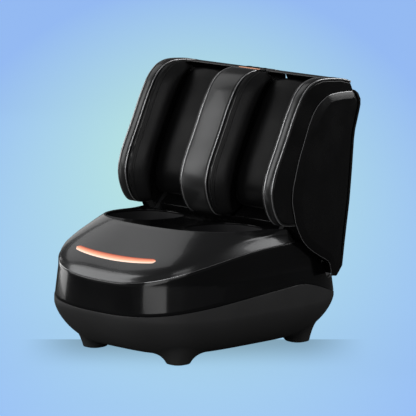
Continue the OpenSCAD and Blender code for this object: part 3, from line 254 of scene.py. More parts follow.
# %% Circuit board
def board(name):
    look, tree, shader = blank_look(name, (0.02, 0.14, 0.07), 0.35, 0, 0.3)
    place = add_node(tree, "TexCoord").outputs["Object"]
    tracks = add_node(tree, "TexVoronoi", {"Vector": place, "Scale": 220}, distance="MANHATTAN",
                      feature="DISTANCE_TO_EDGE").outputs["Distance"]
    feed(shader, {"Base Color": tint(tree, tracks, (0.03, 0.2, 0.1), (0.012, 0.1, 0.05))})
    return look


board_green = board("board_green")

# %% [markdown]
# Two parts glow: the curved strip on the front slope and the bar on top of the middle wall.
# The strip is orange along its upper edge and nearly white along its lower edge, so its colour
# follows an attribute that the strip's own mesh carries.

# %% Lit finishes
def lit_strip_look():
    look, tree, shader = blank_look("lit_strip", (0.9, 0.3, 0.1), 0.3)
    across = add_node(tree, "Attribute", attribute_name="across")
    glow = add_node(tree, "ValToRGB", {"Fac": across.outputs["Fac"]})
    low, high = glow.color_ramp.elements
    low.position, high.position = 0.05, 0.95
    low.color = (0.98, 0.72, 0.58, 1)
    high.color = (0.42, 0.05, 0.015, 1)
    glow.color_ramp.elements.new(0.4).color = (0.88, 0.35, 0.2, 1)
    color = glow.outputs["Color"]
    feed(shader, {"Emission Color": color, "Base Color": color, "Emission Strength": 0.8})
    return look


def lit_bar_look():
    look, tree, shader = blank_look("lit_bar", (0.6, 0.25, 0.12), 0.25, 0.3, 0.3)
    warm = tint(tree, noise(tree, 40, 2), (0.75, 0.25, 0.10), (1.0, 0.6, 0.42))
    feed(shader, {"Emission Color": warm, "Emission Strength": 0.7})
    return look


lit_strip = lit_strip_look()
lit_bar = lit_bar_look()
print("finishes:", len(bpy.data.materials))

# %% [markdown]
# ## Building helpers
# A shell is drawn as one line of vertices that is extruded again and again, each new row set
# in its own place. The line may be a ring (a circle to start with) or an open section.
# Every vertex remembers its share of the way along the line, so a formula can place it, and
# the number of its row.

# %% Rows of extruded vertices
def mix(a, b, t):
    return a + (b - a) * t


def clamp(t):
    return max(0.0, min(1.0, t))


def start_line(bm, count, ring):
    bm.verts.layers.float.new("station")
    share = bm.verts.layers.float.new("share")
    if ring:
        verts = bmesh.ops.create_circle(bm, segments=count, radius=1)["verts"]
        for v in verts:
            v[share] = math.atan2(v.co.y, v.co.x) / (2 * math.pi) % 1
        return list(bm.edges)
    verts = [bm.verts.new((i, 0, 0)) for i in range(count)]
    for i, v in enumerate(verts):
        v[share] = i / (count - 1)
    return [bm.edges.new(pair) for pair in zip(verts, verts[1:])]


def set_row(bm, edges, row, number):
    share, station = (bm.verts.layers.float[key] for key in ("share", "station"))
    for v in {v for e in edges for v in e.verts}:
        v.co = row(v[share])
        v[station] = number


def next_row(bm, edges, row, number):
    made = bmesh.ops.extrude_edge_only(bm, edges=edges)["geom"]
    fresh = {g for g in made if isinstance(g, bmesh.types.BMVert)}
    edges = [g for g in made if isinstance(g, bmesh.types.BMEdge) and set(g.verts) <= fresh]
    set_row(bm, edges, row, number)
    return edges


def close_section(bm):
    """Joins the first and last vertices of a swept open section, and fills its two ends."""
    share = bm.verts.layers.float["share"]
    rims = [e for e in bm.edges if e.is_boundary]
    low = [e for e in rims if all(v[share] < 0.001 for v in e.verts)]
    high = [e for e in rims if all(v[share] > 0.999 for v in e.verts)]
    bmesh.ops.bridge_loops(bm, edges=low + high)
    bmesh.ops.holes_fill(bm, edges=[e for e in bm.edges if e.is_boundary], sides=0)


def shell(rows, count, ends="cap"):
    """Extrudes a ring whose ends are capped or joined to each other, or an open section."""
    bm = bmesh.new()
    first = edges = start_line(bm, count, ends != "section")
    set_row(bm, edges, rows[0], 0)
    for i, row in enumerate(rows[1:], 1):
        edges = next_row(bm, edges, row, i)
    if ends == "section":
        close_section(bm)
    elif ends == "join":
        bmesh.ops.bridge_loops(bm, edges=first + edges)
    else:
        bmesh.ops.edgeloop_fill(bm, edges=first)
        bmesh.ops.edgeloop_fill(bm, edges=edges)
    return bm


# %% [markdown]
# A finished piece is scaled to metres, shaded smooth with its real edges kept sharp, given its
# finish, and tied to the moving body it belongs to.

# %% Finish a piece
merge_gap = 0.000002


def add_piece(bm, name, body, look, stands_for=(), sharp=38, scale=0.001, outward=True):
    bmesh.ops.scale(bm, vec=(scale,) * 3, verts=bm.verts)
    bmesh.ops.remove_doubles(bm, verts=bm.verts, dist=merge_gap)
    if outward:
        bmesh.ops.recalc_face_normals(bm, faces=bm.faces)
    mesh = mesh_from(bm, name)
    mesh.polygons.foreach_set("use_smooth", [True] * len(mesh.polygons))
    mesh.set_sharp_from_angle(angle=math.radians(sharp))
    mesh.materials.append(look)
    piece = add_object(name, mesh)
    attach(piece, body)
    if stands_for:
        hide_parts(*stands_for)
    return piece


# %% [markdown]
# Thin bright lines run along some edges where the light catches them. The faces there get a much
# lighter finish, a painted highlight.

# %% Painted highlights on edges
# Painted highlight: the chosen faces of a piece get the light edge finish.
def paint_highlight_edges(piece, chosen):
    piece.data.materials.append(painted_highlight_edge)
    for face in piece.data.polygons:
        if chosen(face):
            face.material_index = 1


def layer(piece, key, scale=1):
    """Whole numbers from a layer of the mesh, one for each vertex."""
    return [round(v.value * scale) for v in piece.data.attributes[key].data]


# %% [markdown]
# Some working pieces already have the right shape but hard, faceted edges. A copy is merged,
# its flat areas are joined, its edges are rounded a little so that they catch the light, and
# the copy stands for the original.

# %% Rounded copies of working pieces
def soften(node, body, look, width=0.0, flat=False, edge_angle=32, weighted=True):
    bm = bmesh.new()
    bm.from_mesh(nodes[node].data)
    bmesh.ops.remove_doubles(bm, verts=bm.verts, dist=merge_gap)
    if flat:
        bmesh.ops.dissolve_limit(bm, angle_limit=math.radians(0.4), verts=bm.verts, edges=bm.edges)
    if width:
        hard = [e for e in bm.edges
                if e.is_manifold and e.calc_face_angle() > math.radians(edge_angle)]
        bmesh.ops.bevel(bm, geom=hard, offset=width / 1000, offset_type="OFFSET", segments=3,
                        profile=0.5, affect="EDGES", clamp_overlap=True, material=-1)
    piece = add_piece(bm, node + "_skin", body, look, (node,), scale=1, outward=False)
    if weighted:
        even = piece.modifiers.new("even_shading", "WEIGHTED_NORMAL")
        even.keep_sharp = True
    return piece


# %% [markdown]
# ## The base
# Seen from above, the base is a squared oval: a superellipse, a little squarer at the rear.
# Its seam and the top edge of the gloss band rise from the front to a crest near the rear.

# %% Outline of the base
half_w, half_d = 205.0, 247.0
front_n, rear_n = 3.5, 3.8
seam_gap = 0.6
band_lean = 7
crest_y, deck_y = 83, 77


def oval(a, b, n, angle):
    c, s = math.cos(angle), math.sin(angle)
    r = 1 / ((abs(c) / a) ** n + (abs(s) / b) ** n) ** (1 / n)
    return r * c, r * s


def oval_x(a, b, n, y):
    return a * max(0.0, 1 - (abs(y) / b) ** n) ** (1 / n)


def plan(inset, share):
    angle = 2 * math.pi * share
    return oval(half_w - inset, half_d - inset, rear_n if math.sin(angle) > 0 else front_n, angle)


def ease(a, b, t):
    return mix(a, b, (1 - math.cos(math.pi * clamp(t))) / 2)


def seam_z(y):
    if y < 75:
        return mix(95, 132, clamp((y + half_d) / (75 + half_d)) ** 0.6)
    return ease(132, 95, (y - 75) / (half_d - 75))


def band_z(y):
    return mix(155, 212, math.sin(math.pi / 2 * clamp((y + half_d) / (crest_y + half_d)) ** 0.7))


deck_line = [(77, 212), (93, 211), (163, 158), (172, 134), (240, 132)]


def deck_z(y):
    for (y0, z0), (y1, z1) in zip(deck_line, deck_line[1:]):
        if y <= y1:
            return mix(z0, z1, clamp((y - y0) / (y1 - y0)))
    return deck_line[-1][1]


print("base:", 2 * half_w, "by", 2 * half_d, "mm")

# %% [markdown]
# The bottom shell is a tub. A ring is extruded from its floor up the inside, over the lip at
# the seam and down the outside, so the wall has a real thickness and closes on itself.

# %% Bottom shell
hull_steps = 14
hull_top, hull_floor, hull_inset = 92.0, 20.0, 60.0


def hull_row(step, wall):
    bend = (math.cos(math.pi / 2 * step / hull_steps), math.sin(math.pi / 2 * step / hull_steps))
    inset = hull_inset * (1 - max(0.0, bend[0]) ** (4 / 3)) + wall
    z = hull_top - (hull_top - hull_floor - wall) * bend[1] ** (4 / 3)
    return lambda share: (*plan(inset, share), z)


def lip_row(inset, drop):
    return lambda share: (*plan(inset, share), seam_z(plan(0, share)[1]) - drop)


tub_rows = [hull_row(k, 3) for k in range(hull_steps, -1, -2)]
tub_rows += [lip_row(3, 0.2), lip_row(2.4, 0), lip_row(0.7, 0), lip_row(0, 0.8), lip_row(0, 2.5)]
tub_rows += [hull_row(k, 0) for k in range(hull_steps + 1)]
tub = add_piece(shell(tub_rows, 160), "bottom_shell_skin", "base", hull_black,
                ("bottom_shell",))
print("bottom shell:", len(tub.data.polygons), "faces")

# %% [markdown]
# The four feet are stumps under the tub. Above each one the tub flares down to meet it: a
# flare starts on the tub's own surface and narrows to the outline of the stump.

# %% Feet
def tub_z(x, y):
    """Height of the tub's outside over a point of the floor plan."""
    n = rear_n if y > 0 else front_n
    inset, step = hull_inset / 2, hull_inset / 4
    for _ in range(12):
        inside = (abs(x) / (half_w - inset)) ** n + (abs(y) / (half_d - inset)) ** n < 1
        inset += step if inside else -step
        step /= 2
    rise = clamp(1 - inset / hull_inset) ** 1.5
    return hull_top - (hull_top - hull_floor) * (1 - rise) ** (2 / 3)


foot_size, foot_neck = 20, 5
foot_flare = [(34, 1.0), (26, 0.97), (20, 0.89), (15, 0.76), (11, 0.6), (8, 0.43), (5.6, 0.27),
              (3.8, 0.13), (2.6, 0)]
foot_sides = [(2.6, foot_neck), (1.7, 3.4), (0.9, 2.2), (0.1, 1.4), (-1, 1)]


def foot_row(x, y, grow, height, share_of_tub=0.0):
    side, end = math.copysign(1, x), math.copysign(1, y)

    def row(share):
        px, py = oval(foot_size + grow, foot_size + grow, 2.6, 2 * math.pi * share)
        px, py = x + px - side * 0.35 * max(0, grow), y + py - end * 0.35 * max(0, grow)
        return px, py, mix(height, tub_z(px, py) + 0.4, share_of_tub)
    return row


for i, (x, y) in enumerate([(-115, -149), (115, -149), (-115, 165), (115, 165)]):
    flare = shell([foot_row(x, y, grow, foot_neck, part) for grow, part in foot_flare], 64)
    add_piece(flare, f"foot_flare_{i + 1}", "base", hull_black, ("bottom_shell",))
    stump = shell([foot_row(x, y, grow, z) for grow, z in foot_sides], 64)
    add_piece(stump, f"foot_stump_{i + 1}", "base", hull_black, ("feet",))
print("feet: 4")

# %% [markdown]
# The gloss band is a closed loop round the base. It leans in towards its top, and its upper
# edge follows the top cover in front and the slope of the deck behind. The ring is taken up the
# outside and down the inside, and the two ends are bridged.

# %% Gloss band
def band_inset(z):
    return band_lean * clamp((z - 97) / 65)


def band_top(share):
    y = plan(0, share)[1]
    if y < deck_y:
        return band_z(y)
    return min(band_z(y), deck_z(plan(band_inset(band_z(y)), share)[1]) - 3.3)


def band_row(part, rise, wall):
    def row(share):
        z = mix(seam_z(plan(0, share)[1]) + seam_gap, band_top(share), part) + rise
        return (*plan(band_inset(z) + wall, share), z)
    return row


band_rows = [band_row(0, 0, 0.8), band_row(0, 0.25, 0.25), band_row(0, 0.8, 0)]
band_rows += [band_row(k / 10, 0, 0) for k in range(1, 10)]
band_rows += [band_row(1, -1.2, 0), band_row(1, -0.3, 0.3), band_row(1, 0, 1.2), band_row(1, 0, 3)]
band_rows += [band_row(k / 3, 0, 3) for k in (2, 1, 0)]
band = add_piece(shell(band_rows, 200, "join"), "gloss_band", "base", gloss_black,
                 ("side_band",))
print("gloss band:", len(band.data.polygons), "faces")

# %% [markdown]
# The top cover is the grey horseshoe that slopes up from the band to the rim. One section
# through it is a closed line: a rolled skirt, the slope with a slight crown, a rounded rim and
# the inner wall. The section is swept from one rear end round the front to the other.

# %% Section of the top cover
rim_w, rim_d, rim_n = 177, 141, 2.53
flank_y, end_y = 56, 74
rim_slope = 8 / (rim_d + flank_y)


def rim_z(y):
    return 248 - rim_slope * (y + rim_d)


def rim_half(y):
    return oval_x(rim_w, rim_d, rim_n, y) if y < 0 else mix(rim_w, 194, (y / flank_y) ** 1.3)


def cover_rim_z(y):
    return rim_z(y) if y < flank_y else mix(rim_z(flank_y), 215, (y - flank_y) / (end_y - flank_y))


def curve(a, b, c, d, f):
    """Point between b and c on a smooth curve through four points."""
    return 0.5 * (2 * b + (c - a) * f + (2 * a - 5 * b + 4 * c - d) * f * f
                  + (3 * b - a - 3 * c + d) * f ** 3)


def smooth_point(points, t):
    """Point on a smooth curve through a few points, at the share t of its steps."""
    n = len(points) - 1
    s = clamp(t) * n
    i = min(n - 1, int(s))
    return curve(*(Vector(points[max(0, min(n, i + k))]) for k in (-1, 0, 1, 2)), s - i)


def edge_and_rim(station):
    """Edge point, rim point and the place along the band where its height is read."""
    if abs(station) <= 1:
        share = 0.75 + station / 4
        angle = 2 * math.pi * share
        return plan(band_lean, share), oval(rim_w, rim_d, rim_n, angle), plan(0, share)[1]
    side = math.copysign(1, station)
    y = end_y * (abs(station) - 1)
    edge = (side * oval_x(half_w - band_lean, half_d - band_lean, rear_n, y), y)
    rim = (side * min(rim_half(min(y, flank_y)), oval_x(half_w - 10, half_d, rear_n, y)), y)
    return edge, rim, min(y, crest_y)


outer_spots, inner_spots = 22, 7
skirt_line = ((0, 0), (0.25, 1.2), (1.1, 3.0), (3.4, 7.6), (7.5, 15))


def crown(t):
    """Swell of the slope over a straight line."""
    return 1.5 * math.sin(math.pi * t) ** 0.7


def cover_line(station):
    edge, rim, at = edge_and_rim(station)
    edge, rim = Vector(edge), Vector(rim)
    reach = (rim - edge).length
    way = (rim - edge) / reach
    low, high = band_z(at) + seam_gap, cover_rim_z(rim[1])
    s, h = min(1, (reach - 1) / 12), min(1, (high - low) / 30)
    skirt = [(x * s, low + z * h) for x, z in skirt_line]
    top = (reach - 1, high - 0.8)
    slope = [(mix(6.5 * s, top[0], t), mix(low + 16 * h, top[1], t) + s * crown(t))
             for t in (0.2, 0.4, 0.6, 0.8)]
    lip_z = min(high - 1, rim_z(rim[1]) - 2.7 if rim[1] < flank_y + 1 else high - 2)
    rim_edge = [(reach + 0.2, high - 0.15), (reach + 1.4, high), (reach + 4.5, high - 0.7)]
    outer = skirt + slope + [top] + rim_edge
    inner = [(reach + 4.5, lip_z), (reach + 1.6, lip_z), (slope[2][0] + 2.4, slope[2][1] - 2.1 * h),
             (slope[0][0] + 2.4, slope[0][1] - 2.1 * h), (skirt[-1][0] + 3, skirt[-1][1] - 2 * h),
             (skirt[-2][0] + 3, skirt[-2][1] - h), (3, low)]
    return edge, way, outer, inner


def cover_row(station):
    edge, way, outer, inner = cover_line(station)

    def row(share):
        spot = round(share * (outer_spots + inner_spots - 1))
        if spot < outer_spots:
            q = smooth_point(outer, spot / (outer_spots - 1))
        else:
            q = inner[spot - outer_spots]
        return edge[0] + q[0] * way[0], edge[1] + q[0] * way[1], q[1]
    return row


# %% [markdown]
# The section is swept closely round the front, and along the flanks where the rim bends.

# %% Top cover
front_stations = [i / 60 for i in range(-60, 61)]
flank_stations = [1 + y / end_y for y in (3, 8, 14, 21, 28, 35, 42, 49, 54, 56.3, 58, 61, 65, 70, 74)]
stations = [-s for s in reversed(flank_stations)] + front_stations + flank_stations
cover_bm = shell([cover_row(s) for s in stations], outer_spots + inner_spots, "section")
cover = add_piece(cover_bm, "top_cover_skin", "base", cover_grey, ("top_cover",), sharp=50)
cover_spots = layer(cover, "share", outer_spots + inner_spots - 1)
# Painted highlights: the bottom of the skirt and the edge of the rim get the light edge finish.
paint_highlight_edges(cover, lambda face: {cover_spots[i] for i in face.vertices} in ({0, 1}, {18, 19}))
print("top cover:", len(cover.data.polygons), "faces")

# %% [markdown]
# The lit strip lies on the front slope and follows its curve. Its ends are rounded, and each
# vertex keeps its height across the strip for the glow.

# %% Lit strip
def slope_point(angle, z, lift):
    share = angle / (2 * math.pi)
    edge, rim = Vector(plan(band_lean, share)), Vector(oval(rim_w, rim_d, rim_n, angle))
    reach = (rim - edge).length
    way = (rim - edge) / reach
    low = Vector((6.5, band_z(plan(0, share)[1]) + seam_gap + 16))
    run = Vector((reach - 1, rim_z(rim[1]) - 0.8)) - low
    t = clamp((z - low[1]) / run[1])
    out = Vector((-run[1], run[0])).normalized()
    q = low + run * t + Vector((0, crown(t))) + out * lift
    return edge[0] + q[0] * way[0], edge[1] + q[0] * way[1], q[1]


strip_turn = math.atan(111 / (half_d - 42))
strip_profile = [(0, -2.8), (0, 0.2), (0.06, 0.75), (0.2, 1.0), (0.5, 1.1), (0.8, 1.0), (0.94, 0.75),
                 (1, 0.2), (1, -2.8)]


def strip_row(u):
    angle = math.radians(270) + strip_turn * u
    round_end = max(0.04, 1 - max(0, (abs(u) - 0.93) / 0.07) ** 2) ** 0.5
    rise = 6.5 * u * u
    height = mix(8.5, 6, u * u)
    middle = 188.5 + rise + height / 2

    def row(share):
        part, lift = strip_profile[round(share * (len(strip_profile) - 1))]
        z = middle + (part - 0.5) * height * round_end
        return slope_point(angle, z, lift)
    return row


strip_steps = 48
strip_rows = [strip_row(2 * i / strip_steps - 1) for i in range(strip_steps + 1)]
strip_bm = shell(strip_rows, len(strip_profile), "section")
across = strip_bm.verts.layers.float.new("across")
share_layer = strip_bm.verts.layers.float["share"]
for v in strip_bm.verts:
    v[across] = strip_profile[round(v[share_layer] * (len(strip_profile) - 1))][0]
strip = add_piece(strip_bm, "lit_strip_lens", "base", lit_strip, ("light_lens",))
print("lit strip:", len(strip.data.polygons), "faces")

# %% [markdown]
# The top plate, the rear deck and the linings of the foot wells keep the shapes of the working
# model, which already has their openings. Only their edges are softened.

# %% Plate, deck and foot wells
soften("top_plate", "base", gloss_black, 1.0)
soften("rear_deck", "base", gloss_black, 0.7)
for side in ("left", "right"):
    soften("foot_liner_" + side, "base", liner_grey)

# %% [markdown]
# ## The calf unit
# From the side, the fronts of the three walls, the cushions and the frame all follow one line
# that leans back and curves over at the top.

# %% Lines of the calf unit
wall_line = [(64, 246), (43, 247.5), (26, 252), (14, 264), (5, 282), (0, 302), (0, 322), (6, 345),
             (16, 368), (28, 392), (41, 419), (54, 447), (67, 471), (77, 487), (90, 501), (107, 512),
             (134, 517.5), (182, 514), (209, 507)]
roll_line = [(2, 262), (0, 302), (7, 338), (20, 374), (38, 412), (57, 450), (76, 484), (92, 508),
             (110, 526), (134, 543), (165, 549)]
pad_rear_line = [(57, 257), (50, 266), (46, 281), (45, 302), (51, 325), (62, 357), (79, 393), (98, 432),
                 (116, 463), (130, 483), (144, 495), (160, 500)]
wall_from, wall_to = 0.04, 0.9
inner_x, wall_x = (corner[0] * 1000 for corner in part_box("left_wall"))
middle_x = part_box("centre_wall")[1][0] * 1000
welt_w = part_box("left_strip")[0][0] * 1000 - inner_x


def along(points, t, out):
    """Point of a side-view line at the share t, moved out to the left of its way."""
    here = smooth_point(points, t)
    step = smooth_point(points, t + 0.004) - smooth_point(points, t - 0.004)
    step.normalize()
    return here[0] - step[1] * out, here[1] + step[0] * out


# %% [markdown]
# Each wall is faced with a satin grey strip that rolls over from the front to the top. Its
# section has a rounded bead at each edge, a fine groove beside it and a slight crown. The
# beads carry a painted highlight, the light edge finish.

# %% Trim strips
bead_w, trim_steps = 2.4, 150
bead = [(0, -4), (0, -1.2), (0.4, -0.3), (1.2, 0.1), (2, -0.3), (bead_w, -1.0), (3.1, -1.9),
        (3.8, -1.2), (4.8, -0.6), (7, -0.2)]


def trim_strip(name, centre, width, node):
    half = width / 2
    left = [(x - half, h) for x, h in bead]
    section = left + [(0, 0.1)] + [(-x, h) for x, h in reversed(left)]

    def row_at(t):
        def row(share):
            x, h = section[round(share * (len(section) - 1))]
            y, z = along(wall_line, t, h)
            return centre + x, y, z
        return row

    bm = shell([row_at(i / trim_steps) for i in range(trim_steps + 1)], len(section), "section")
    piece = add_piece(bm, name, "calf_unit", trim_grey, (node,), sharp=60)
    # Painted highlight: the faces of the beads near both edges get the light edge finish.
    paint_highlight_edges(piece, lambda face: 0.1 < half - abs(face.center.x * 1000 - centre) < bead_w)
    return piece


side_trim = (wall_x + inner_x + welt_w) / 2
trim_strip("left_trim", side_trim, wall_x - inner_x - welt_w, "left_strip")
trim_strip("right_trim", -side_trim, wall_x - inner_x - welt_w, "right_strip")
for wall, round_off in (("left", 2.0), ("right", 2.0), ("centre", 1.0)):
    soften(wall + "_wall", "calf_unit", wall_black, round_off, edge_angle=40)
print("walls: 3, trims: 3")

# %% [markdown]
# The strip on the middle wall has a window for the control panel, so it is swept in the same
# way and the window is cut out with a box.

# %% Middle trim strip
middle_trim = trim_strip("middle_trim", 0, 2 * (middle_x - welt_w), "centre_strip")
panel_tilt = math.atan2(514 - 517.5, 182 - 134)
cutter_bm = bmesh.new()
bmesh.ops.create_cube(cutter_bm, size=1)
bmesh.ops.scale(cutter_bm, vec=(0.0706, 0.0506, 0.03), verts=cutter_bm.verts)
bmesh.ops.rotate(cutter_bm, matrix=Matrix.Rotation(panel_tilt, 3, "X"), verts=cutter_bm.verts)
bmesh.ops.translate(cutter_bm, vec=(0, 0.158, 0.51575), verts=cutter_bm.verts)
cutter = add_object("window_cutter", mesh_from(cutter_bm, "window_cutter"))
window = middle_trim.modifiers.new("window", "BOOLEAN")
window.object = cutter
window.operation = "DIFFERENCE"
window.solver = "EXACT"
cut_mesh = copy_evaluated(middle_trim)
middle_trim.modifiers.clear()
middle_trim.data = cut_mesh
bpy.data.objects.remove(cutter)
print("middle trim:", len(middle_trim.data.polygons), "faces")

# %% [markdown]
# The outer casings are the rounded rear cover, the top caps and the pan underneath. They are
# plain mouldings, so they keep their working shapes, and so do the panel, keys and switch.

# %% Casings of the calf unit
soften("rear_cover", "calf_unit", shell_black, weighted=False)
soften("top_caps", "calf_unit", shell_black, 1.0, True)
soften("base_pan", "calf_unit", shell_black, 0.8)
soften("control_panel", "calf_unit", panel_black, 0.5)
soften("accent_bar", "calf_unit", lit_bar, 0.4, True)
for key in ("mode", "power", "heat"):
    soften(key + "_button", key + "_key", key_grey, 0.4, True)
soften("mains_inlet", "base", inlet_black, 0.4)
soften("power_rocker", "power_switch", rocker_grey, 0.4, True)

# %% [markdown]
# Each side cover is a flat plate with a bevel that is broad along the front, the top and the
# lower edge and narrow at the rear. It is swept as rings: the rear edge, a small rounded rim
# with a painted highlight, the slope of the bevel, its soft crest, and the face that closes
# the last ring.

# %% Side covers
cover_edge = [
    (78, 219, 1), (97, 200, 1), (124, 183, 1), (150, 167, 0.8), (160, 140, 0.15),
    (178, 157, 0.15), (185, 206, 0.25), (197, 281, 0.25), (203, 338, 0.25), (208, 395, 0.25),
    (211, 413, 0.25), (221, 445, 0.3), (225, 459, 0.3), (225, 470, 0.4), (217, 484, 0.7),
    (206, 487.5, 0.85), (175, 488, 0.85), (151, 486, 0.9), (138, 481, 1), (122, 471, 1.1),
    (108, 456, 1.2), (95, 433, 1.3), (82, 402, 1.4), (69, 371, 1.5), (59, 338, 1.5),
    (54, 320, 1.5), (52, 303, 1.5), (52, 288, 1.4), (57, 268, 1.3), (62, 249, 1.1)]
edge_count = 240


def loop_point(points, t):
    """The same on a closed curve."""
    n = len(points)
    s = t % 1 * n
    return curve(*(Vector(points[(int(s) + k) % n]) for k in (-1, 0, 1, 2)), s - int(s))


def side_cover(name, side, node):
    low, high = sorted(abs(corner[0]) * 1000 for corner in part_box(node))
    bevel = 16

    def ring_at(inset, x, rim=0.0):
        def row(share):
            here = loop_point(cover_edge, share)
            way = loop_point(cover_edge, share + 0.004) - loop_point(cover_edge, share - 0.004)
            way = Vector((way[0], way[1])).normalized()
            d = inset * here[2] + rim
            return side * x, here[0] - way[1] * d, here[1] + way[0] * d
        return row

    rings = [ring_at(0, low, 1.6), ring_at(0, low, 0.2), ring_at(0, low + 1.0),
             ring_at(0, low + 1.5, 0.15), ring_at(0.03 * bevel, low + 1.9, 0.3),
             ring_at(0.5 * bevel, mix(low + 1.9, high, 0.5)), ring_at(0.95 * bevel, high - 0.16),
             ring_at(bevel, high - 0.04), ring_at(1.05 * bevel, high)]
    bm = shell(rings, edge_count)
    piece = add_piece(bm, name, "calf_unit", shell_black, (node,), sharp=35)
    rows = layer(piece, "station")
    # Painted highlight: the small rounded rim gets the light edge finish.
    paint_highlight_edges(piece, lambda face: {rows[i] for i in face.vertices} == {3, 4})


side_cover("left_side_skin", 1, "side_cover_left")
side_cover("right_side_skin", -1, "side_cover_right")
print("side covers: 2")

# %% [markdown]
# ## Cushions
# A cushion is foam in a sewn cover. It starts as a form a little smaller than its real size,
# and a cloth simulation blows it up. The part that lies on the wall is held, and no point may
# move further than a few millimetres, so the cushion stays in its place.

# %% Raw cushion forms
pad_spots, pad_stations = 17, 44
side_bag, side_rise = 5.0, 21.0
side_spots, side_stations = 40, 76
front_seam, rear_seam = 9, 15
pad_gap = 2
line_steps = 120


def pad_end(t):
    """Narrows a cushion towards both of its ends, least at the top."""
    return max(0.03, 1 - abs(2 * t - 1) ** (9 if t < 0.5 else 30)) ** 0.5


def side_section(depth, rise):
    """Corners of a side cushion's section: distance behind its front, height over the wall's face."""
    wrap = -welt_w + 0.4
    far = min(30, depth * 0.68)
    return [(depth * 0.6, side_bag + 0.2), (far * 0.42, side_bag + 0.2), (far * 0.3, side_bag - 1.2),
            (4.1, -0.6), (4.1, wrap + 0.6), (3.4, wrap), (2.6, wrap + 0.6), (2.4, wrap + 2),
            (far * 0.18, -1), (far * 0.34, rise * 0.22), (far * 0.56, rise * 0.52),
            (far * 0.78, rise * 0.78), (far, rise * 0.95), (depth * 0.82, rise), (depth - 4, rise - 2),
            (depth - 1, rise - 6),
            (depth, rise * 0.5), (depth - 0.4, side_bag + 1.4), (depth - 1.6, side_bag + 0.2)]


def side_lengths(corners):
    ends = corners[1:] + corners[:1]
    return [(Vector(b) - Vector(a)).length for a, b in zip(corners, ends)]


def ring_place(corners, share):
    """Point at an even share of the way round a closed outline."""
    sides = side_lengths(corners)
    left = share * sum(sides)
    for i, side in enumerate(sides):
        if left <= side:
            break
        left -= side
    return Vector(corners[i]).lerp(Vector(corners[(i + 1) % len(corners)]), left / sides[i])


def corner_share(corners, k):
    """Share of the way round a closed outline at which one of its corners lies."""
    sides = side_lengths(corners)
    return sum(sides[:k]) / sum(sides)


def side_pad_row(wall, out, t):
    front = smooth_point(wall_line, mix(wall_from, wall_to, t))
    rear = smooth_point(pad_rear_line, t)
    depth = (rear - front).length - 0.6
    way = (rear - front).normalized()
    rise = side_bag + (side_rise - side_bag) * min(1, depth / 46) ** 0.8
    corners = side_section(depth, rise)
    near_end = max(0, 0.035 - t) / 0.035 if t < 0.5 else max(0, t - 0.985) / 0.015
    shrink = 1 - 0.6 * near_end
    centre = Vector((depth / 2, (side_bag + rise) / 2))

    def row(share):
        q = centre + (ring_place(corners, share) - centre) * shrink ** 0.5
        return wall + out * q[1], front[0] + way[0] * q[0], front[1] + way[1] * q[0]
    return row


def rear_pad_row(side, t):
    s = pad_end(t)
    rear, front = along(roll_line, t, -83), along(roll_line, t, -49 + 8 * clamp((t - 0.7) / 0.2))
    half = (inner_x - middle_x) / 2 - pad_gap
    centre = side * (inner_x + middle_x) / 2

    def row(share):
        angle = math.pi * share
        c, h = math.cos(angle), math.sin(angle)
        across = math.copysign(abs(c) ** (2 / 3.2), c)
        rise = mix(0.35, 1, s) * (h ** (2 / 3.2) if 0 < share < 1 else 0)
        return (centre + half * mix(0.9, 1, s) * across,
                mix(rear[0], front[0], rise), mix(rear[1], front[1], rise))
    return row


def raw_pad(rows, count, ends):
    bm = shell(rows, count, ends)
    bmesh.ops.recalc_face_normals(bm, faces=bm.faces)
    bmesh.ops.scale(bm, vec=(0.001,) * 3, verts=bm.verts)
    bmesh.ops.triangulate(bm, faces=[f for f in bm.faces if len(f.verts) > 4])
    return bm


# %% [markdown]
# The rear cushions' open sections give uneven faces, so they are remeshed first. After the
# simulation each point's move is capped, and the mesh is kept without the simulation.

# %% Blow up a cushion
cloth_frames = 20


def blow_up(bm, name, held, cap, voxel=0.0):
    """Inflates a form. The held part stays, and no point moves further than the cap."""
    pad = add_object(name, mesh_from(bm, name))
    if voxel:
        even = pad.modifiers.new("even", "REMESH")
        even.mode = "VOXEL"
        even.voxel_size = voxel
        pad.data = copy_evaluated(pad)
        pad.modifiers.clear()
    start = [v.co.copy() for v in pad.data.vertices]
    group = pad.vertex_groups.new(name="held")
    group.add([v.index for v in pad.data.vertices if held(v.co)], 1.0, "REPLACE")
    cloth = pad.modifiers.new("cloth", "CLOTH").settings
    cloth.use_pressure = True
    cloth.uniform_pressure_force = 3
    cloth.vertex_group_mass = "held"
    cloth.effector_weights.gravity = 0
    cloth.quality = 5
    cloth.tension_stiffness = 20
    cloth.compression_stiffness = 20
    cloth.bending_stiffness = 2
    scene = bpy.context.scene
    for frame_number in range(1, cloth_frames + 1):
        scene.frame_set(frame_number)
    moved = copy_evaluated(pad)
    for before, v in zip(start, moved.vertices):
        step = v.co - before
        if step.length > cap:
            v.co = before + step * (cap / step.length)
    pad.modifiers.clear()
    pad.vertex_groups.clear()
    pad.data = moved
    scene.frame_set(1)
    return pad


# %% [markdown]
# After the simulation comes the sewing. A seam is a thin cord laid along the cushion, with a
# lighter finish of its own, a painted sheen. The surface is smoothed and subdivided once.

# %% Seams and the finish of a cushion
def cord(places, normals, radius):
    def row_at(i):
        ahead = (places[min(i + 1, len(places) - 1)] - places[max(i - 1, 0)]).normalized()
        side = ahead.cross(normals[i]).normalized()

        def row(turn):
            a = 2 * math.pi * turn
            return places[i] + (side * math.cos(a) + normals[i] * math.sin(a)) * radius
        return row

    return shell([row_at(i) for i in range(len(places))], 8)


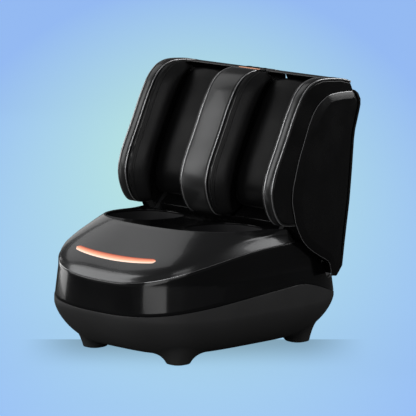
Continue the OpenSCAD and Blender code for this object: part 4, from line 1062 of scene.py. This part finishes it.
def piping(pad, corner, radius):
    """A cord along the vertices of a cushion that lie nearest to one corner of its section."""
    share = corner_share(side_section(46, side_rise), corner)
    shares, stations = (pad.data.attributes[key].data for key in ("share", "station"))
    spot = round(share * side_spots) / side_spots
    chain = sorted((stations[v.index].value, v.index) for v in pad.data.vertices
                   if abs(shares[v.index].value - spot) < 0.001)
    chain = [pad.data.vertices[i] for _, i in chain[1:-1]]
    return cord([v.co.copy() for v in chain], [v.normal.copy() for v in chain], radius)


def add_cords(pad, cords):
    """Smooths a cushion's mesh and joins cords to it, with the second finish."""
    bm = bmesh.new()
    bm.from_mesh(pad.data)
    for _ in range(2):
        bmesh.ops.smooth_vert(bm, verts=bm.verts, factor=0.5, use_axis_x=True, use_axis_y=True,
                              use_axis_z=True)
    for cord_bm in cords:
        for face in cord_bm.faces:
            face.material_index = 1
        bmesh.ops.recalc_face_normals(cord_bm, faces=cord_bm.faces)
        cord_mesh = mesh_from(cord_bm, "cord")
        bm.from_mesh(cord_mesh)
        bpy.data.meshes.remove(cord_mesh)
    bm.to_mesh(pad.data)
    bm.free()


def moved_copy(source, name, flip, shift):
    """A copy of a cushion, mirrored across X if asked, and shifted along X."""
    bm = bmesh.new()
    bm.from_mesh(source.data)
    if flip:
        bmesh.ops.scale(bm, vec=(-1, 1, 1), verts=bm.verts)
        bmesh.ops.reverse_faces(bm, faces=bm.faces)
    bmesh.ops.translate(bm, vec=(shift / 1000, 0, 0), verts=bm.verts)
    return add_object(name, mesh_from(bm, name))


def finish_pad(pad, node, look=cushion_black):
    pad.data.materials.clear()
    pad.data.materials.append(look)
    # The second finish, for the cords, is lighter: a painted sheen.
    pad.data.materials.append(painted_sheen_piping)
    pad.data.polygons.foreach_set("use_smooth", [True] * len(pad.data.polygons))
    finer = pad.modifiers.new("finer", "SUBSURF")
    finer.levels = 1
    finer.render_levels = 1
    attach(pad, "calf_unit")
    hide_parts(node)


def samples(points):
    return [smooth_point(points, i / line_steps) for i in range(line_steps + 1)]


def from_line(line, co):
    """Distance from a sampled side-view line, in millimetres."""
    p = Vector((co.y * 1000, co.z * 1000))
    return min((q - p).length for q in line)


# %% [markdown]
# The four side cushions are alike, so one is simulated on the left wall and mirrored copies
# stand on the other faces. It is swept as rings and needs no remeshing. It has a piped seam
# behind its front edge and another along its rear crown.

# %% Side cushions
front_samples = samples(wall_line)


def side_held(co):
    """The part of a side cushion that lies on its wall or is tucked in beside the trim strip."""
    height = inner_x - co.x * 1000
    return height < 0.8 - welt_w or (height < side_bag + 0.6 and from_line(front_samples, co) > 2)


side_rows = [side_pad_row(inner_x, -1, i / side_stations) for i in range(side_stations + 1)]
first_side = blow_up(raw_pad(side_rows, side_spots, "cap"), "left_outer_pad", side_held, 0.0035)
add_cords(first_side, [piping(first_side, corner, 0.001) for corner in (front_seam, rear_seam)])
side_pads = [
    (moved_copy(first_side, "right_outer_pad", True, 0), "right_outer_cushion"),
    (moved_copy(first_side, "left_inner_pad", True, middle_x + inner_x), "left_inner_cushion"),
    (moved_copy(first_side, "right_inner_pad", False, -middle_x - inner_x), "right_inner_cushion"),
    (first_side, "left_outer_cushion"),
]
for pad, node in side_pads:
    finish_pad(pad, node)
print("side cushions:", len(side_pads))

# %% [markdown]
# The two rear cushions are wide rolls of the same leather, given a darker colour and less
# gloss: painted shade for the shadow the side cushions cast on them. A piped hem runs down one
# side of each, along its lower end and up the other side.

# %% Rear cushions
roll_samples = samples(roll_line)
rear_rows = [rear_pad_row(1, i / pad_stations) for i in range(pad_stations + 1)]
first_rear = blow_up(raw_pad(rear_rows, pad_spots, "section"), "left_rear_pad",
                     lambda co: from_line(roll_samples, co) > 80, 0.004, 0.005)
hem_line = [(0.95, 0.9), (0.7, 0.9), (0.45, 0.9), (0.2, 0.9), (0.07, 0.87), (0.02, 0.75), (0.01, 0.5),
            (0.02, 0.25), (0.07, 0.13), (0.2, 0.1), (0.45, 0.1), (0.7, 0.1), (0.95, 0.1)]
hem_raw = [Vector(rear_pad_row(1, t)(share)) / 1000 for t, share in samples(hem_line)]
hem = [first_rear.closest_point_on_mesh(place)[1:3] for place in hem_raw]
add_cords(first_rear, [cord(*zip(*hem), 0.0011)])
other_rear = moved_copy(first_rear, "right_rear_pad", True, 0)
for pad, node in ((first_rear, "left_rear_cushion"), (other_rear, "right_rear_cushion")):
    # Painted shade: the rear cushions get the darker copy of the leather.
    finish_pad(pad, node, cushion_painted_shade)
print("rear cushions: 2")

# %% [markdown]
# ## Pieces inside
# The drive, the pump, the frame and the boards keep their working shapes, since they hardly
# show. They only get their finishes, by name.

# %% Finishes for the pieces inside
inside = {
    frame_paint: ("chassis", "calf_frame", "hinge_brackets"),
    bright_steel: ("base_screws", "rear_roller_shaft", "front_roller_shaft", "hinge_pins"),
    nylon_white: ("bearing_blocks", "drive_gear", "rear_pulley", "front_pulley"),
    board_green: ("light_board", "power_board", "control_board", "panel_board"),
    roller_orange: ("rear_rollers", "front_rollers"),
    bag_rubber: ("foot_airbags", "calf_airbags"),
    foot_rubber: ("rubber_feet",),
    liner_grey: ("sole_trays",),
    motor_silver: ("drive_motor",),
    pinion_brass: ("motor_pinion",),
    belt_black: ("drive_belt",),
    pump_grey: ("air_pump",),
    valve_ivory: ("valve_block",),
    hose_grey: ("air_hoses",),
}
for look, names in inside.items():
    for name in names:
        nodes[name].data.materials.clear()
        nodes[name].data.materials.append(look)
print("pieces inside:", sum(len(v) for v in inside.values()))

# %% [markdown]
# ## Studio
# The floor is one pale blue sheet, greener behind the machine. For the camera it shows mostly
# its own colour and a little of the light that falls on it, so it stays even and still carries
# the shadow. A painted shadow also darkens a band of its colour in front of the machine. For
# reflections it is dark, which keeps the lower parts of the machine black.

# %% Floor
glow_behind, glow_size = 2.34, (0.65, 4.05)
own_color = 0.84


def turned(tree, place, behind=0.0, scale=(1, 1, 1)):
    """Coordinates that turn with the camera, about a point of the floor behind the machine."""
    middle = (-behind * math.sin(azimuth), behind * math.cos(azimuth), 0)
    turn = {"Vector": place, "Location": middle, "Rotation": (0, 0, azimuth), "Scale": scale}
    return add_node(tree, "Mapping", turn, vector_type="TEXTURE").outputs["Vector"]


def painted_floor_shadow(tree, place):
    """Painted shadow: a greyer band in front of a straight line on the floor, fading to the front and
    the sides.
    """
    parts = add_node(tree, "SeparateXYZ", {"Vector": turned(tree, place)}).outputs
    width = add_node(tree, "Math", {0: parts["X"]}, operation="ABSOLUTE").outputs["Value"]
    shades = [spread(tree, width, 1, 0, 0.2, 0.34, "SMOOTHSTEP"),
              spread(tree, parts["Y"], 0, 1, -0.25, 0.05, "SMOOTHSTEP"),
              spread(tree, parts["Y"], 1, 0, 0.045, 0.052, "SMOOTHSTEP")]
    shade = shades[0]
    for other in shades[1:]:
        shade = add_node(tree, "Math", {0: shade, 1: other}, operation="MULTIPLY").outputs["Value"]
    return shade


def mixed(tree, factor, first, second):
    return add_node(tree, "MixShader", {"Fac": factor, 1: first, 2: second}).outputs["Shader"]


def floor_look():
    look, tree, _ = blank_look("studio_floor", (0.3, 0.3, 0.3), 0.9)
    ray = add_node(tree, "LightPath").outputs["Is Camera Ray"]
    place = add_node(tree, "TexCoord").outputs["Object"]
    spot = turned(tree, place, glow_behind, (*glow_size, 1))
    ball = add_node(tree, "TexGradient", {"Vector": spot}, gradient_type="SPHERICAL").outputs["Fac"]
    color = tint(tree, ball, (0.32, 0.53, 0.965), (0.54, 0.88, 0.74))
    # Painted shadow: the floor's colour is darkened in a band in front of the machine.
    shading = {"Factor": painted_floor_shadow(tree, place), "A": color, "B": (0.62, 0.62, 0.6, 1)}
    shaded = add_node(tree, "Mix", shading, data_type="RGBA", blend_type="MULTIPLY").outputs["Result"]
    glow = add_node(tree, "Emission", {"Strength": 1.08, "Color": shaded}).outputs["Emission"]
    plain = add_node(tree, "BsdfDiffuse", {"Color": shaded}).outputs["BSDF"]
    dim = add_node(tree, "BsdfDiffuse", {"Color": (0.1, 0.1, 0.1, 1)}).outputs["BSDF"]
    shown = mixed(tree, ray, dim, mixed(tree, own_color, plain, glow))
    feed(tree.nodes["Material Output"], {"Surface": shown})
    return look


floor_bm = bmesh.new()
bmesh.ops.create_circle(floor_bm, cap_ends=True, segments=96, radius=14)
floor = add_object("studio_floor", mesh_from(floor_bm, "studio_floor"))
floor.data.materials.append(floor_look())

# %% [markdown]
# Black gloss shows nothing but reflections, so the lamps are large panels. The front left one
# lights the trims, and the upper left one the slope of the cover. The rear right one draws the
# patch on the cover's flank, and the corner panel the bright bar on the corner of the band.
# The near right one lights the cushions' sides, and the two small ones the left edges.

# %% Lamps and world
def panel_lamp(name, place, target, width, height, watts):
    lamp = bpy.data.lights.new(name, "AREA")
    lamp.shape = "RECTANGLE"
    lamp.size = width
    lamp.size_y = height
    lamp.energy = watts
    holder = add_object(name, lamp)
    holder.location = place
    holder.rotation_mode = "QUATERNION"
    holder.rotation_quaternion = (Vector(target) - Vector(place)).to_track_quat("-Z", "Y")


lamps = {
    "front_left_panel": ((-2.2, -1.8, 1.45), (0, 0, 0.3), 1.2, 1.6, 19),
    "upper_left_panel": ((-1.8, -0.05, 2.3), (0, 0, 0.2), 1.5, 2.3, 10),
    "left_rim_panel": ((-2.7, 1.3, 0.95), (0, 0, 0.2), 0.8, 1.7, 2.5),
    "low_left_panel": ((-1.35, -0.35, 0.16), (-0.1, -0.22, 0.12), 0.7, 0.28, 1.4),
    "rear_right_panel": ((1.75, 2.3, 1.5), (0, 0, 0.3), 1.2, 1.3, 16),
    "corner_panel": ((0.6, -3.05, 0.75), (0, 0, 0.2), 2.5, 1.2, 14),
    "near_right_panel": ((2.6, -2.2, 1.7), (0, 0, 0.25), 2.0, 2.0, 18),
}
for name, setting in lamps.items():
    panel_lamp(name, *setting)

world = bpy.data.worlds.new("studio")
world.use_nodes = True
bpy.context.scene.world = world
tree = world.node_tree
sky = tree.nodes["Background"]
feed(sky, {"Color": (0.8, 0.8, 0.82, 1), "Strength": 0.1})
shown = add_node(tree, "Background", {"Color": (0.32, 0.52, 0.95, 1)})
ray = add_node(tree, "LightPath").outputs["Is Camera Ray"]
chosen = mixed(tree, ray, sky.outputs["Background"], shown.outputs["Background"])
feed(tree.nodes["World Output"], {"Surface": chosen})
print("lamps:", len(lamps))
